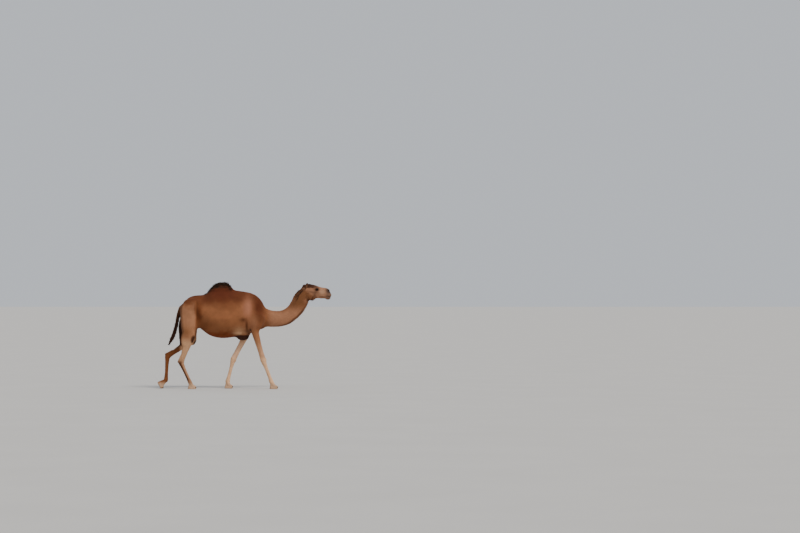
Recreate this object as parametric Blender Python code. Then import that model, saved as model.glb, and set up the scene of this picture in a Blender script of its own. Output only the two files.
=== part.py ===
"""A dromedary camel, life size, striding at a pace: the body as solids.

Metres, +X is forward, +Y is the camel's left, +Z is up. The whole body is first
built as one closed form: lofts for the trunk, hump, neck and head, tapered
limbs from joint to joint, and rounded masses for the muscles. It is then parted
by thin cuts into the pieces that a person would name. Eyes, ears, toenails and
the tail are solids of their own, let into the body with a small gap.
"""

import math

import bmesh
import bpy
import numpy as np
from mathutils import Matrix, Vector

# ---- Driving dimensions ---------------------------------------------------
GAP = 0.0003  # between two solids that meet
SEGMENTS = 28  # points round each loft of the whole body
STEPS = 4  # rings from one station of such a loft to the next
TAIL_SEGMENTS = 10
TAIL_STEPS = 2
EAR_SEGMENTS = 12
VOXEL = 0.0075  # grain of the whole body before it is thinned
FIRST_TRIANGLES = 8200  # of the whole body after an even thinning
LAST_TRIANGLES = 3800  # after a second one that spares the head
HEAD_START = 1.10  # ahead of this the head is spared when the body is thinned
SOLE_DEPTH = 0.012  # how far the pads are modelled below the floor, then cut off
RIGHT, LEFT = -1, 1  # sides of the body, as signs of Y

HIP_SPREAD = 0.150
STIFFLE_SPREAD = 0.205
HOCK_SPREAD = 0.150
HIND_FOOT_SPREAD = 0.135
SHOULDER_SPREAD = 0.165
ELBOW_SPREAD = 0.170
KNEE_SPREAD = 0.148
FORE_FOOT_SPREAD = 0.140

EYE_RADIUS = 0.0215
EYE_PLACE = (1.366, 0.0715, 1.8765)
EAR_ROOT = (1.163, 0.060, 1.868)
EAR_TIP = (1.184, 0.104, 2.003)
EAR_WIDTH = 0.036  # half widths
EAR_THICK = 0.0080
EAR_WIDEST = 0.58  # share of the way from root to tip
EAR_FACING = (0.50, 0.866)  # ahead and outward
EAR_CUP = 0.013  # how deep the front of the ear is hollowed
NAIL_RADII = (0.021, 0.0145, 0.015)

# Trunk: x, height of the back, height of the belly, half width, height of the widest level.
TRUNK = (
    (-1.222, 1.535, 1.300, 0.050, 1.44),
    (-1.200, 1.590, 1.235, 0.100, 1.44),
    (-1.140, 1.668, 1.185, 0.160, 1.46),
    (-1.050, 1.748, 1.165, 0.208, 1.50),
    (-0.930, 1.778, 1.195, 0.236, 1.55),
    (-0.798, 1.788, 1.100, 0.262, 1.43),
    (-0.665, 1.812, 1.008, 0.296, 1.36),
    (-0.513, 1.838, 0.962, 0.318, 1.33),
    (-0.361, 1.860, 0.958, 0.314, 1.32),
    (-0.209, 1.878, 0.975, 0.284, 1.32),
    (-0.057, 1.860, 1.000, 0.246, 1.32),
    (0.095, 1.836, 1.040, 0.212, 1.33),
    (0.215, 1.786, 1.085, 0.186, 1.34),
    (0.310, 1.695, 1.130, 0.158, 1.36),
    (0.375, 1.572, 1.185, 0.118, 1.36),
    (0.410, 1.460, 1.260, 0.060, 1.36),
)
# Hump: x, height of the top with its hair, half width; the base lies in the back.
HUMP = (
    (-0.815, 1.765, 0.150),
    (-0.735, 1.815, 0.175),
    (-0.665, 1.900, 0.190),
    (-0.590, 1.978, 0.195),
    (-0.505, 2.022, 0.195),
    (-0.420, 2.038, 0.190),
    (-0.345, 2.034, 0.180),
    (-0.285, 2.000, 0.168),
    (-0.232, 1.918, 0.155),
    (-0.170, 1.850, 0.130),
)
HUMP_BASE = 1.56
HUMP_WIDEST = 1.66
# Neck: x, z of its middle line, half depth, half width, from the chest to the skull.
NECK = (
    (0.120, 1.455, 0.235, 0.150),
    (0.240, 1.395, 0.205, 0.142),
    (0.361, 1.358, 0.176, 0.126),
    (0.470, 1.332, 0.168, 0.112),
    (0.570, 1.324, 0.165, 0.100),
    (0.665, 1.328, 0.162, 0.092),
    (0.754, 1.348, 0.162, 0.087),
    (0.836, 1.391, 0.160, 0.084),
    (0.912, 1.452, 0.159, 0.082),
    (0.972, 1.526, 0.160, 0.080),
    (1.023, 1.606, 0.162, 0.078),
    (1.061, 1.691, 0.164, 0.077),
    (1.101, 1.769, 0.153, 0.074),
    (1.145, 1.840, 0.121, 0.069),
)
# Head: x, top, bottom, widest level, half width there, at the top and at the bottom.
HEAD = (
    (1.078, 1.930, 1.800, 1.87, 0.045, 0.036, 0.040),
    (1.110, 1.966, 1.738, 1.87, 0.064, 0.052, 0.050),
    (1.165, 1.987, 1.698, 1.87, 0.075, 0.058, 0.056),
    (1.235, 1.990, 1.677, 1.87, 0.080, 0.062, 0.055),
    (1.300, 1.979, 1.672, 1.87, 0.087, 0.070, 0.050),
    (1.352, 1.961, 1.688, 1.87, 0.090, 0.076, 0.046),
    (1.402, 1.941, 1.702, 1.85, 0.078, 0.064, 0.044),
    (1.450, 1.927, 1.708, 1.82, 0.064, 0.050, 0.043),
    (1.500, 1.920, 1.709, 1.81, 0.057, 0.044, 0.044),
    (1.548, 1.912, 1.703, 1.80, 0.056, 0.045, 0.045),
    (1.582, 1.896, 1.703, 1.79, 0.055, 0.042, 0.043),
    (1.606, 1.866, 1.712, 1.782, 0.050, 0.036, 0.038),
    (1.624, 1.824, 1.728, 1.775, 0.039, 0.030, 0.030),
    (1.639, 1.792, 1.745, 1.768, 0.022, 0.016, 0.016),
)
# Tail: x, z, half thickness, from the croup to the end of its tuft.
TAIL = (
    (-1.170, 1.590, 0.040),
    (-1.225, 1.520, 0.037),
    (-1.262, 1.420, 0.030),
    (-1.282, 1.305, 0.028),
    (-1.304, 1.190, 0.029),
    (-1.330, 1.090, 0.031),
    (-1.362, 0.998, 0.032),
    (-1.402, 0.914, 0.027),
    (-1.430, 0.862, 0.015),
    (-1.440, 0.845, 0.006),
)
# Limb girths: share of the way from joint to joint, half depth, half width.
UPPER_ARM = ((0.0, 0.105, 0.070), (0.5, 0.112, 0.078), (1.0, 0.080, 0.062))
FOREARM = (
    (0.0, 0.078, 0.060),
    (0.2, 0.074, 0.061),
    (0.45, 0.058, 0.051),
    (0.7, 0.050, 0.044),
    (0.88, 0.053, 0.048),
    (1.0, 0.056, 0.052),
)
FORE_CANNON = (
    (0.0, 0.055, 0.051),
    (0.14, 0.046, 0.043),
    (0.35, 0.036, 0.034),
    (0.75, 0.034, 0.034),
    (0.92, 0.042, 0.042),
    (1.0, 0.044, 0.044),
)
THIGH = ((0.0, 0.150, 0.085), (0.4, 0.156, 0.100), (0.75, 0.140, 0.092), (1.0, 0.115, 0.072))
GASKIN = (
    (0.0, 0.120, 0.072),
    (0.2, 0.098, 0.064),
    (0.5, 0.066, 0.050),
    (0.8, 0.047, 0.040),
    (1.0, 0.050, 0.044),
)
HIND_CANNON = (
    (0.0, 0.052, 0.044),
    (0.16, 0.042, 0.038),
    (0.4, 0.037, 0.032),
    (0.75, 0.035, 0.032),
    (0.92, 0.040, 0.038),
    (1.0, 0.041, 0.040),
)

# The hamstrings of the left thigh, drawn out behind it as that leg pushes off.
HAMSTRINGS = ((0.0, 0.115, 0.058), (0.3, 0.132, 0.060), (0.85, 0.100, 0.052), (1.0, 0.078, 0.044))

# Joints of each leg as (x, z) in the stride; the right pair is forward, the left pair back.
FORE_LEGS = {
    "right": dict(
        side=RIGHT,
        shoulder=(0.300, 1.335),
        elbow=(0.196, 1.104),
        knee=(0.358, 0.540),
        fetlock=(0.516, 0.128),
        heel=0.478,
        toe=0.637,
    ),
    "left": dict(
        side=LEFT,
        shoulder=(0.262, 1.330),
        elbow=(0.052, 1.100),
        knee=(-0.230, 0.555),
        fetlock=(-0.338, 0.132),
        heel=-0.398,
        toe=-0.238,
    ),
}
HIND_LEGS = {
    "right": dict(
        side=RIGHT,
        hip=(-1.070, 1.500),
        stifle=(-1.040, 0.985),
        calf=1.0,
        hock=(-1.192, 0.486),
        fetlock=(-1.022, 0.112),
        heel=-1.072,
        toe=-0.908,
    ),
    "left": dict(
        side=LEFT,
        hip=(-1.085, 1.470),
        stifle=(-1.050, 0.915),
        calf=0.62,
        hock=(-1.486, 0.600),
        fetlock=(-1.510, 0.156),
        heel=-1.746,
        toe=-1.592,
        hamstrings=((-1.156, 0.160, 1.300), (-1.166, 0.170, 0.810)),
        pitch=math.radians(60),  # the heel is raised and only the toes bear
        toe_height=-0.008,
    ),
}
FORE_PAD = dict(width=0.158, height=0.052)
HIND_PAD = dict(width=0.134, height=0.047)
FORE_FOOT_CUT = 0.094  # height of the cut between foot and leg, above the sole
HIND_FOOT_CUT = 0.086

# Where the body is parted. Outlines of (x, z), or (y, z) seen from the front.
HEAD_REGION = ((1.236, 1.615), (1.000, 2.064), (1.000, 2.300), (1.900, 2.300), (1.900, 1.615))
NECK_REGION = ((0.417, 1.080), (0.440, 1.650), (0.600, 2.300), (1.900, 2.300), (1.900, 1.080))
HUMP_REGION = ((-0.860, 1.790), (-0.130, 1.900), (-0.130, 2.300), (-0.860, 2.300))
CHEST_PAD_ACROSS = ((-0.090, 0.992), (-0.090, 0.930), (0, 0.860), (0.090, 0.930), (0.090, 0.992))
CHEST_PAD_ALONG = (-0.180, 0.140)
FORE_ACROSS = (
    (0.004, -0.1),
    (0.450, -0.1),
    (0.450, 1.300),
    (0.100, 1.055),
    (0.094, 0.930),
    (0.004, 0.800),
)
HIND_ACROSS = ((0.004, -0.1), (0.450, -0.1), (0.450, 1.900), (0.030, 1.150), (0.004, 1.130))
FORE_LEGS["right"]["region"] = (
    (0.055, 1.500),
    (0.055, 0.950),
    (0.200, 0.500),
    (0.360, -0.100),
    (0.800, -0.100),
    (0.800, 1.500),
)
FORE_LEGS["left"]["region"] = (
    (-0.070, 1.500),
    (-0.070, 1.070),
    (-0.120, 1.000),
    (-0.360, 0.600),
    (-0.520, -0.100),
    (0.350, -0.100),
    (0.350, 1.500),
)
for hind_leg in HIND_LEGS.values():
    hind_leg["region"] = (
        (-0.915, 1.900),
        (-0.900, 1.250),
        (-0.860, 1.050),
        (-0.750, 0.500),
        (-0.750, -0.100),
        (-1.950, -0.100),
        (-1.950, 1.900),
    )

# Coat colours, linear RGB, for the plain look of the solids.
COLOURS = {
    "coat_russet": (0.30, 0.13, 0.06, 1),
    "coat_tan": (0.42, 0.23, 0.13, 1),
    "coat_cream": (0.62, 0.43, 0.30, 1),
    "coat_dark": (0.06, 0.03, 0.02, 1),
    "eye": (0.02, 0.01, 0.008, 1),
    "horn": (0.07, 0.05, 0.04, 1),
    "callus": (0.12, 0.07, 0.05, 1),
}

# Name of a piece, or how it starts; its colour; its roughness.
LOOKS = (
    ("eye", "eye", 0.10),
    ("nail", "horn", 0.45),
    ("chest_pad", "callus", 0.75),
    ("ear", "coat_russet", 0.85),
    ("tail", "coat_dark", 0.85),
    ("hump", "coat_dark", 0.85),
    ("trunk", "coat_russet", 0.85),
    ("neck", "coat_tan", 0.85),
    ("head", "coat_tan", 0.85),
    ("foreleg", "coat_cream", 0.85),
    ("hindleg", "coat_tan", 0.85),
    ("forefoot", "coat_cream", 0.85),
    ("hindfoot", "coat_cream", 0.85),
)


# ---- Form tools -----------------------------------------------------------
def smooth_rows(rows, steps=STEPS):
    """The rows of a station table joined by Catmull-Rom curves, as an array."""
    p = np.array(rows, float)
    ends = np.vstack([2 * p[0] - p[1], p, 2 * p[-1] - p[-2]])
    out = []
    for a, b, c, d in zip(ends[:-3], ends[1:-2], ends[2:-1], ends[3:]):
        for t in np.arange(steps) / steps:
            out.append(
                0.5
                * (
                    2 * b
                    + (c - a) * t
                    + (2 * a - 5 * b + 4 * c - d) * t * t
                    + (3 * b - a - 3 * c + d) * t**3
                )
            )
    return np.array(out + [p[-1]])


def power(value, exponent):
    """A signed power, for superellipses."""
    return math.copysign(abs(value) ** exponent, value)


def skin_rings(bm, rings):
    """One closed shell over a row of rings with equal point counts."""
    rows = [[bm.verts.new(p) for p in ring] for ring in rings]
    count = len(rows[0])
    made = []
    for a, b in zip(rows, rows[1:]):
        for i in range(count):
            j = (i + 1) % count
            made.append(bm.faces.new((a[i], a[j], b[j], b[i])))
    made.append(bm.faces.new(rows[0][::-1]))
    made.append(bm.faces.new(rows[-1]))
    bmesh.ops.recalc_face_normals(bm, faces=made)


def upright_ring(x, top, bottom, widest, mid, upper, lower, peak=2.0, keel=2.0):
    """A cross-section at x; peak and keel under 2 make the top or bottom narrower."""
    ring = []
    for i in range(SEGMENTS):
        angle = 2 * math.pi * i / SEGMENTS
        side, rise = math.cos(angle), math.sin(angle)
        reach = mid + (upper - mid) * max(rise, 0) + (lower - mid) * max(-rise, 0)
        if rise >= 0:
            z = widest + (top - widest) * power(rise, 2 / peak)
            y = reach * power(side, 2 / peak)
        else:
            z = widest + (widest - bottom) * power(rise, 2 / keel)
            y = reach * power(side, 2 / keel)
        ring.append((x, y, z))
    return ring


def path_rings(points, tangents, depths, widths, segments=SEGMENTS):
    """Rings square to a path, deep in the plane of the path and the vertical."""
    rings = []
    for point, tangent, depth, width in zip(points, tangents, depths, widths):
        along = Vector(tangent).normalized()
        across = Vector((0, 1, 0))
        across = (across - along * across.dot(along)).normalized()
        deep = along.cross(across)
        rings.append(
            [
                Vector(point)
                + across * width * math.cos(2 * math.pi * i / segments)
                + deep * depth * math.sin(2 * math.pi * i / segments)
                for i in range(segments)
            ]
        )
    return rings


def rounded_ends(points, tangents, depths, widths):
    """The same row with each end closed by two shrinking rings."""
    cap = (0.55, 0.85)  # how far along the cap, in half depths
    for end, sign in ((0, -1), (-1, 1)):
        extra = []
        for share in cap:
            shrink = math.sqrt(1 - share**2)
            extra.append(
                (
                    points[end] + sign * tangents[end] * depths[end] * share,
                    tangents[end],
                    depths[end] * shrink,
                    widths[end] * shrink,
                )
            )
        if end == 0:
            extra.reverse()
        block = [np.array(column) for column in zip(*extra)]
        columns = [points, tangents, depths, widths]
        pairs = zip(block, columns) if end == 0 else zip(columns, block)
        points, tangents, depths, widths = (np.concatenate(pair) for pair in pairs)
    return points, tangents, depths, widths


def path_loft(bm, rows, steps=STEPS, segments=SEGMENTS):
    """A round-ended loft along rows of x, y, z, half depth, half width."""
    fine = smooth_rows(rows, steps)
    points = fine[:, :3]
    tangents = np.gradient(points, axis=0)
    tangents /= np.linalg.norm(tangents, axis=1)[:, None]
    course = rounded_ends(points, tangents, fine[:, 3], fine[:, 4])
    skin_rings(bm, path_rings(*course, segments))


def limb(bm, start, end, girths):
    """A limb from joint to joint, with half depth and half width by share of the way."""
    a, b = np.array(start, float), np.array(end, float)
    path_loft(bm, [(*(a + (b - a) * t), depth, width) for t, depth, width in girths])


def lobe(bm, centre, radii, turn=0.0, yaw=0.0, lean=0.0, frame=Matrix()):
    """A rounded mass; turn lifts its front, yaw swings it left, lean tips its top right."""
    place = frame @ Matrix.Translation(centre) @ Matrix.Rotation(yaw, 4, "Z")
    place = place @ Matrix.Rotation(lean, 4, "X") @ Matrix.Rotation(-turn, 4, "Y")
    place = place @ Matrix.Diagonal((*radii, 1))
    bmesh.ops.create_uvsphere(bm, u_segments=20, v_segments=12, radius=1, matrix=place)


def at_side(joint, spread, side):
    return (joint[0], side * spread, joint[1])


# ---- The whole body -------------------------------------------------------
def add_trunk(bm):
    rings = [
        upright_ring(x, top, belly, widest, half, 0.70 * half, 0.86 * half, 1.85, 2.15)
        for x, top, belly, half, widest in smooth_rows(TRUNK)
    ]
    skin_rings(bm, rings)
    rings = [
        upright_ring(x, top, HUMP_BASE, HUMP_WIDEST, half, 0.68 * half, half, 1.9)
        for x, top, half in smooth_rows(HUMP)
    ]
    skin_rings(bm, rings)
    lobe(bm, (-0.010, 0, 0.985), (0.105, 0.082, 0.070), turn=0.10)  # sternal pad
    lobe(bm, (-0.078, 0, 0.978), (0.082, 0.072, 0.064))
    lobe(bm, (0.300, 0, 1.270), (0.125, 0.135, 0.150))  # breast


def add_trunk_side(bm, side):
    """Shoulder blade, hip bone, buttock and flank of one side."""
    lobe(bm, (0.120, side * 0.112, 1.540), (0.120, 0.058, 0.260), -0.32, lean=side * 0.42)
    lobe(bm, (0.185, side * 0.150, 1.350), (0.135, 0.070, 0.170), -0.35, lean=side * 0.10)
    lobe(bm, (-0.880, side * 0.150, 1.630), (0.110, 0.060, 0.055), turn=-0.25)
    lobe(bm, (-1.020, side * 0.115, 1.600), (0.160, 0.085, 0.120))
    lobe(bm, (-1.165, side * 0.075, 1.430), (0.062, 0.070, 0.150))
    lobe(bm, (-0.905, side * 0.135, 1.290), (0.095, 0.085, 0.170), turn=0.25)


def add_neck(bm):
    path_loft(bm, [(x, 0, z, depth, width) for x, z, depth, width in NECK])


def add_head(bm):
    rings = [
        upright_ring(x, top, low, widest, mid, up, down, 2.15, 2.3)
        for x, top, low, widest, mid, up, down in smooth_rows(HEAD)
    ]
    skin_rings(bm, rings)
    lobe(bm, (1.160, 0, 1.952), (0.070, 0.048, 0.034))  # crown
    lobe(bm, (1.580, 0, 1.710), (0.050, 0.034, 0.024), turn=0.1)  # lower lip
    for side in (RIGHT, LEFT):
        lobe(bm, (1.345, side * 0.071, 1.906), (0.078, 0.028, 0.026), -0.20)  # brow
        lobe(bm, (1.372, side * 0.066, 1.840), (0.072, 0.026, 0.028), -0.1)  # lower orbit
        lobe(bm, (1.272, side * 0.066, 1.858), (0.104, 0.024, 0.034), -0.05)  # cheekbone
        lobe(bm, (1.222, side * 0.046, 1.782), (0.078, 0.036, 0.094), 0.30)  # jaw muscle
        lobe(bm, (1.566, side * 0.031, 1.870), (0.050, 0.026, 0.032), -0.40)  # nostril
        lobe(bm, (1.592, side * 0.028, 1.784), (0.056, 0.032, 0.046), -0.45)  # upper lip


def pad_frame(leg):
    """The frame of a foot: origin at the tip of the toes, X from heel to toe."""
    tip = Matrix.Translation((leg["toe"], 0, leg.get("toe_height", 0.0)))
    return tip @ Matrix.Rotation(leg.get("pitch", 0.0), 4, "Y")


def add_foot(bm, leg, fetlock, pad, spread):
    """A broad pad under two toes, with the pasterns that carry them."""
    y = leg["side"] * spread
    frame = Matrix.Translation((0, y, 0)) @ pad_frame(leg)
    length = leg["toe"] - leg["heel"]
    width, height = pad["width"], pad["height"]
    rings = []
    for level, grow in ((-SOLE_DEPTH, 0.93), (0.3 * height, 1.0), (0.75 * height, 0.90)):
        ring = []
        for i in range(SEGMENTS):
            angle = 2 * math.pi * i / SEGMENTS
            ahead, aside = math.cos(angle), math.sin(angle)
            x = length / 2 * (power(ahead, 0.8) * grow - 1)
            wider = 1 + 0.10 * ahead  # the pad is broadest under the toes
            ring.append(frame @ Vector((x, width / 2 * grow * wider * power(aside, 0.85), level)))
        rings.append(ring)
    skin_rings(bm, rings)
    for toe in (RIGHT, LEFT):
        lobe(
            bm,
            (-0.30 * length, toe * width * 0.235, height * 0.72),
            (0.30 * length, width * 0.215, height * 0.66),
            turn=-0.16,
            yaw=toe * 0.10,
            frame=frame,
        )
        knuckle = frame @ Vector((-0.42 * length, toe * width * 0.20, height * 0.95))
        limb(bm, fetlock, knuckle, ((0.0, 0.036, 0.030), (0.6, 0.033, 0.028), (1.0, 0.036, 0.030)))
    heel = frame @ Vector((-0.74 * length, 0, height * 0.70))
    limb(bm, fetlock, heel, ((0.0, 0.034, 0.036), (0.5, 0.032, 0.036), (1.0, 0.036, 0.044)))


def add_fore_leg(bm, leg):
    side = leg["side"]
    shoulder = at_side(leg["shoulder"], SHOULDER_SPREAD, side)
    elbow = at_side(leg["elbow"], ELBOW_SPREAD, side)
    knee = at_side(leg["knee"], KNEE_SPREAD, side)
    fetlock = at_side(leg["fetlock"], FORE_FOOT_SPREAD, side)
    limb(bm, shoulder, elbow, UPPER_ARM)
    limb(bm, elbow, knee, FOREARM)
    limb(bm, knee, fetlock, FORE_CANNON)
    point = Vector(elbow) + Vector((-0.058, 0, 0.018))
    lobe(bm, point, (0.040, 0.040, 0.055), turn=0.2)  # point of the elbow
    lobe(bm, Vector(knee) + Vector((0.016, 0, 0.0)), (0.048, 0.051, 0.066))  # knee cap
    lobe(bm, fetlock, (0.044, 0.046, 0.044))
    add_foot(bm, leg, fetlock, FORE_PAD, FORE_FOOT_SPREAD)


def add_hind_leg(bm, leg):
    side = leg["side"]
    hip = at_side(leg["hip"], HIP_SPREAD, side)
    stifle = at_side(leg["stifle"], STIFFLE_SPREAD, side)
    hock = at_side(leg["hock"], HOCK_SPREAD, side)
    fetlock = at_side(leg["fetlock"], HIND_FOOT_SPREAD, side)
    limb(bm, hip, stifle, THIGH)
    if "hamstrings" in leg:
        limb(bm, *leg["hamstrings"], HAMSTRINGS)
    calf = leg["calf"]  # how full the top of the gaskin is
    gaskin = [(at, depth * (calf + (1 - calf) * at), width) for at, depth, width in GASKIN]
    limb(bm, stifle, hock, gaskin)
    limb(bm, hock, fetlock, HIND_CANNON)
    lobe(bm, Vector(stifle) + Vector((0.082, 0, 0.010)), (0.044, 0.044, 0.062))  # knee cap
    muscle = Vector(stifle) + Vector((-0.072 * calf, 0, -0.045 * calf))
    lobe(bm, muscle, (0.098 * calf, 0.058, 0.165 * calf))  # calf
    shank = (Vector(stifle) - Vector(hock)).normalized()
    cannon = (Vector(fetlock) - Vector(hock)).normalized()
    back = -(shank + cannon).normalized()
    heel = Vector(hock) + back * 0.062 + shank * 0.036
    limb(bm, hock, heel, ((0.0, 0.044, 0.036), (1.0, 0.026, 0.026)))  # point of the hock
    tendon = Vector(hock) + back * 0.040 + shank * 0.160
    limb(bm, heel, tendon, ((0.0, 0.024, 0.020), (1.0, 0.026, 0.020)))
    lobe(bm, fetlock, (0.040, 0.042, 0.042))
    add_foot(bm, leg, fetlock, HIND_PAD, HIND_FOOT_SPREAD)


def mesh_object(name, bm):
    mesh = bpy.data.meshes.new(name)
    bm.to_mesh(mesh)
    bm.free()
    obj = bpy.data.objects.new(name, mesh)
    bpy.context.scene.collection.objects.link(obj)
    return obj


def bake_modifiers(obj):
    """Replaces an object's mesh with its evaluated one."""
    graph = bpy.context.evaluated_depsgraph_get()
    mesh = bpy.data.meshes.new_from_object(obj.evaluated_get(graph))
    obj.modifiers.clear()
    obj.data = mesh


def weigh(obj, name, weight_of):
    """A vertex group whose weight is a function of the places, as an array."""
    places = np.array([v.co for v in obj.data.vertices])
    group = obj.vertex_groups.new(name=name)
    for index, weight in enumerate(weight_of(places)):
        group.add([index], float(weight), "REPLACE")
    return group.name


def ramp(values, low, high):
    t = np.clip((values - low) / (high - low), 0, 1)
    return t * t * (3 - 2 * t)


def bulk(places):
    """1 on the trunk and thighs, 0 on head and lower legs."""
    return ramp(places[:, 2], 0.75, 1.05) * (1 - ramp(places[:, 0], 0.95, 1.10))


def head_only(places):
    return ramp(places[:, 0], 1.02, 1.12) * ramp(places[:, 2], 1.50, 1.65)


def everywhere(places):
    return np.ones(len(places))


def plain_parts(places):
    """0 on the head, which keeps more triangles, and 1 elsewhere."""
    head = (places[:, 0] > HEAD_START) & (places[:, 2] > 1)
    return np.where(head, 0.0, 1.0)


def whole_body():
    bm = bmesh.new()
    add_trunk(bm)
    for side in (RIGHT, LEFT):
        add_trunk_side(bm, side)
    add_neck(bm)
    add_head(bm)
    for leg in FORE_LEGS.values():
        add_fore_leg(bm, leg)
    for leg in HIND_LEGS.values():
        add_hind_leg(bm, leg)
    body = mesh_object("whole_body", bm)
    remesh = body.modifiers.new("union", "REMESH")
    remesh.mode = "VOXEL"
    remesh.voxel_size = VOXEL
    bake_modifiers(body)
    for name, weight_of, rounds in (
        ("flow", bulk, 140),
        ("head", head_only, 16),
        ("surface", everywhere, 6),
    ):
        smooth = body.modifiers.new(name, "SMOOTH")
        smooth.vertex_group = weigh(body, name, weight_of)
        smooth.factor = 0.5
        smooth.iterations = rounds
    bake_modifiers(body)
    for name, weight_of, target in (
        ("even", everywhere, FIRST_TRIANGLES),
        ("plain", plain_parts, LAST_TRIANGLES),
    ):
        thin = body.modifiers.new(name, "DECIMATE")
        thin.vertex_group = weigh(body, name, weight_of)
        thin.ratio = target / len(body.data.polygons)
        bake_modifiers(body)
    trim_soles(body)
    return body


def trim_soles(body):
    """Cuts the pads flat at the floor."""
    bm = bmesh.new()
    bm.from_mesh(body.data)
    cut = bmesh.ops.bisect_plane(
        bm,
        geom=bm.verts[:] + bm.edges[:] + bm.faces[:],
        plane_co=(0, 0, 0),
        plane_no=(0, 0, 1),
        clear_inner=True,
    )
    rim = [e for e in cut["geom_cut"] if isinstance(e, bmesh.types.BMEdge)]
    bmesh.ops.contextual_create(bm, geom=rim)
    bmesh.ops.holes_fill(bm, edges=[e for e in bm.edges if e.is_boundary])
    bmesh.ops.recalc_face_normals(bm, faces=bm.faces[:])
    bmesh.ops.triangulate(bm, faces=bm.faces[:])
    bm.to_mesh(body.data)
    bm.free()


# ---- Pieces let into the body ------------------------------------------
def add_eye(bm, side, grow=0.0):
    x, y, z = EYE_PLACE
    place = Matrix.Translation((x, side * y, z))
    bmesh.ops.create_icosphere(bm, subdivisions=3, radius=EYE_RADIUS + grow, matrix=place)


def add_ear(bm, side, grow=0.0):
    """A short upright leaf, hollowed on its front and turned a little outward."""
    root = np.array((EAR_ROOT[0], side * EAR_ROOT[1], EAR_ROOT[2]))
    tip = np.array((EAR_TIP[0], side * EAR_TIP[1], EAR_TIP[2]))
    along = Vector(tip - root).normalized()
    front = Vector((EAR_FACING[0], side * EAR_FACING[1], 0))
    front = (front - along * front.dot(along)).normalized()
    across = along.cross(front)
    rings = []
    for share in (-0.004, 0.14, 0.34, 0.56, 0.76, 0.90, 0.97, 1.0):
        if share > EAR_WIDEST:  # a round tip
            away = (share - EAR_WIDEST) / (1 - EAR_WIDEST)
            leaf = math.sqrt(max(1 - away**2, 0.04))
        else:  # a narrower root
            away = 1 - share / EAR_WIDEST
            leaf = 1 - 0.42 * away**2
        centre = Vector(root + (tip - root) * share) + along * (grow if share > 0.5 else -grow)
        hollow = EAR_CUP * leaf * min(1, max(0, 4 * share - 1))
        ring = []
        for i in range(EAR_SEGMENTS):
            angle = 2 * math.pi * i / EAR_SEGMENTS
            aside, ahead = math.cos(angle), math.sin(angle)
            wide = (EAR_WIDTH * leaf + grow) * aside
            thick = (EAR_THICK * (0.45 + 0.55 * leaf) + grow) * ahead
            bend = hollow * (aside**2 - 0.5)
            ring.append(centre + across * wide + front * (thick + bend))
        rings.append(ring)
    skin_rings(bm, rings)


def add_tail(bm, grow=0.0):
    rows = [(x, 0, z, thick + grow, 0.86 * thick + grow) for x, z, thick in TAIL]
    path_loft(bm, rows, TAIL_STEPS, TAIL_SEGMENTS)


def nail_frame(leg, pad, spread, toe):
    """The frame of a toenail: at the front upper edge of a toe."""
    place = Matrix.Translation((0, leg["side"] * spread, 0)) @ pad_frame(leg)
    length = leg["toe"] - leg["heel"]
    spot = (-0.10 * length, toe * pad["width"] * 0.235, pad["height"] * 0.66)
    return place @ Matrix.Translation(spot) @ Matrix.Rotation(math.radians(24), 4, "Y")


def add_nail(bm, leg, pad, spread, toe, grow=0.0):
    radii = [r + grow for r in NAIL_RADII]
    frame = nail_frame(leg, pad, spread, toe) @ Matrix.Diagonal((*radii, 1))
    bmesh.ops.create_icosphere(bm, subdivisions=2, radius=1, matrix=frame)


def inset_object(name, add, *details):
    bm = bmesh.new()
    add(bm, *details)
    bmesh.ops.recalc_face_normals(bm, faces=bm.faces[:])
    bmesh.ops.triangulate(bm, faces=bm.faces[:])
    return mesh_object(name, bm)


# ---- Parting --------------------------------------------------------------
def guide(obj):
    """Marks an object as a cutter that is no part of the model."""
    obj.hide_render = True
    obj.display_type = "WIRE"
    return obj


def prism(name, outline, axis, start, end):
    """A closed prism over an outline of (along X or Y, Z) points, between two depths."""
    bm = bmesh.new()
    rings = []
    for depth in (start, end):
        if axis == "Y":
            rings.append([bm.verts.new((a, depth, z)) for a, z in outline])
        else:
            rings.append([bm.verts.new((depth, a, z)) for a, z in outline])
    count = len(outline)
    for i in range(count):
        j = (i + 1) % count
        bm.faces.new((rings[0][i], rings[0][j], rings[1][j], rings[1][i]))
    bm.faces.new(rings[0][::-1])
    bm.faces.new(rings[1])
    bmesh.ops.recalc_face_normals(bm, faces=bm.faces[:])
    return guide(mesh_object(name, bm))


def boolean(obj, cutter, operation):
    cut = obj.modifiers.new(cutter.name, "BOOLEAN")
    cut.object = cutter
    cut.operation = operation
    cut.solver = "EXACT"


def moved_copy(obj, name, shift):
    copy = bpy.data.objects.new(name, obj.data.copy())
    copy.data.transform(Matrix.Translation(shift))
    bpy.context.scene.collection.objects.link(copy)
    return guide(copy)


def side_prism(name, outline, low_y=-1.0, high_y=1.0):
    return prism(name, outline, "Y", low_y, high_y)


def leg_region(name, side, across, along):
    """The solid that holds one leg: an outline seen from the front, cut by one from the side."""
    region = prism(name, [(side * y, z) for y, z in across], "X", -3.0, 3.0)
    flank = side_prism(name + "_flank", along)
    boolean(region, flank, "INTERSECT")
    bake_modifiers(region)
    bpy.data.objects.remove(flank)
    return region


def foot_region(name, leg, spread, level):
    """The box that holds one foot, from under the sole to a level above it."""
    bm = bmesh.new()
    bmesh.ops.create_cube(bm, size=1)
    for vert in bm.verts:
        x, y, z = vert.co
        vert.co = (-0.12 + 0.42 * x, 0.22 * y, level / 2 - 0.05 + (level + 0.10) * z)
    frame = Matrix.Translation((0, leg["side"] * spread, 0)) @ pad_frame(leg)
    bmesh.ops.transform(bm, matrix=frame, verts=bm.verts)
    return guide(mesh_object(name, bm))


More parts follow.
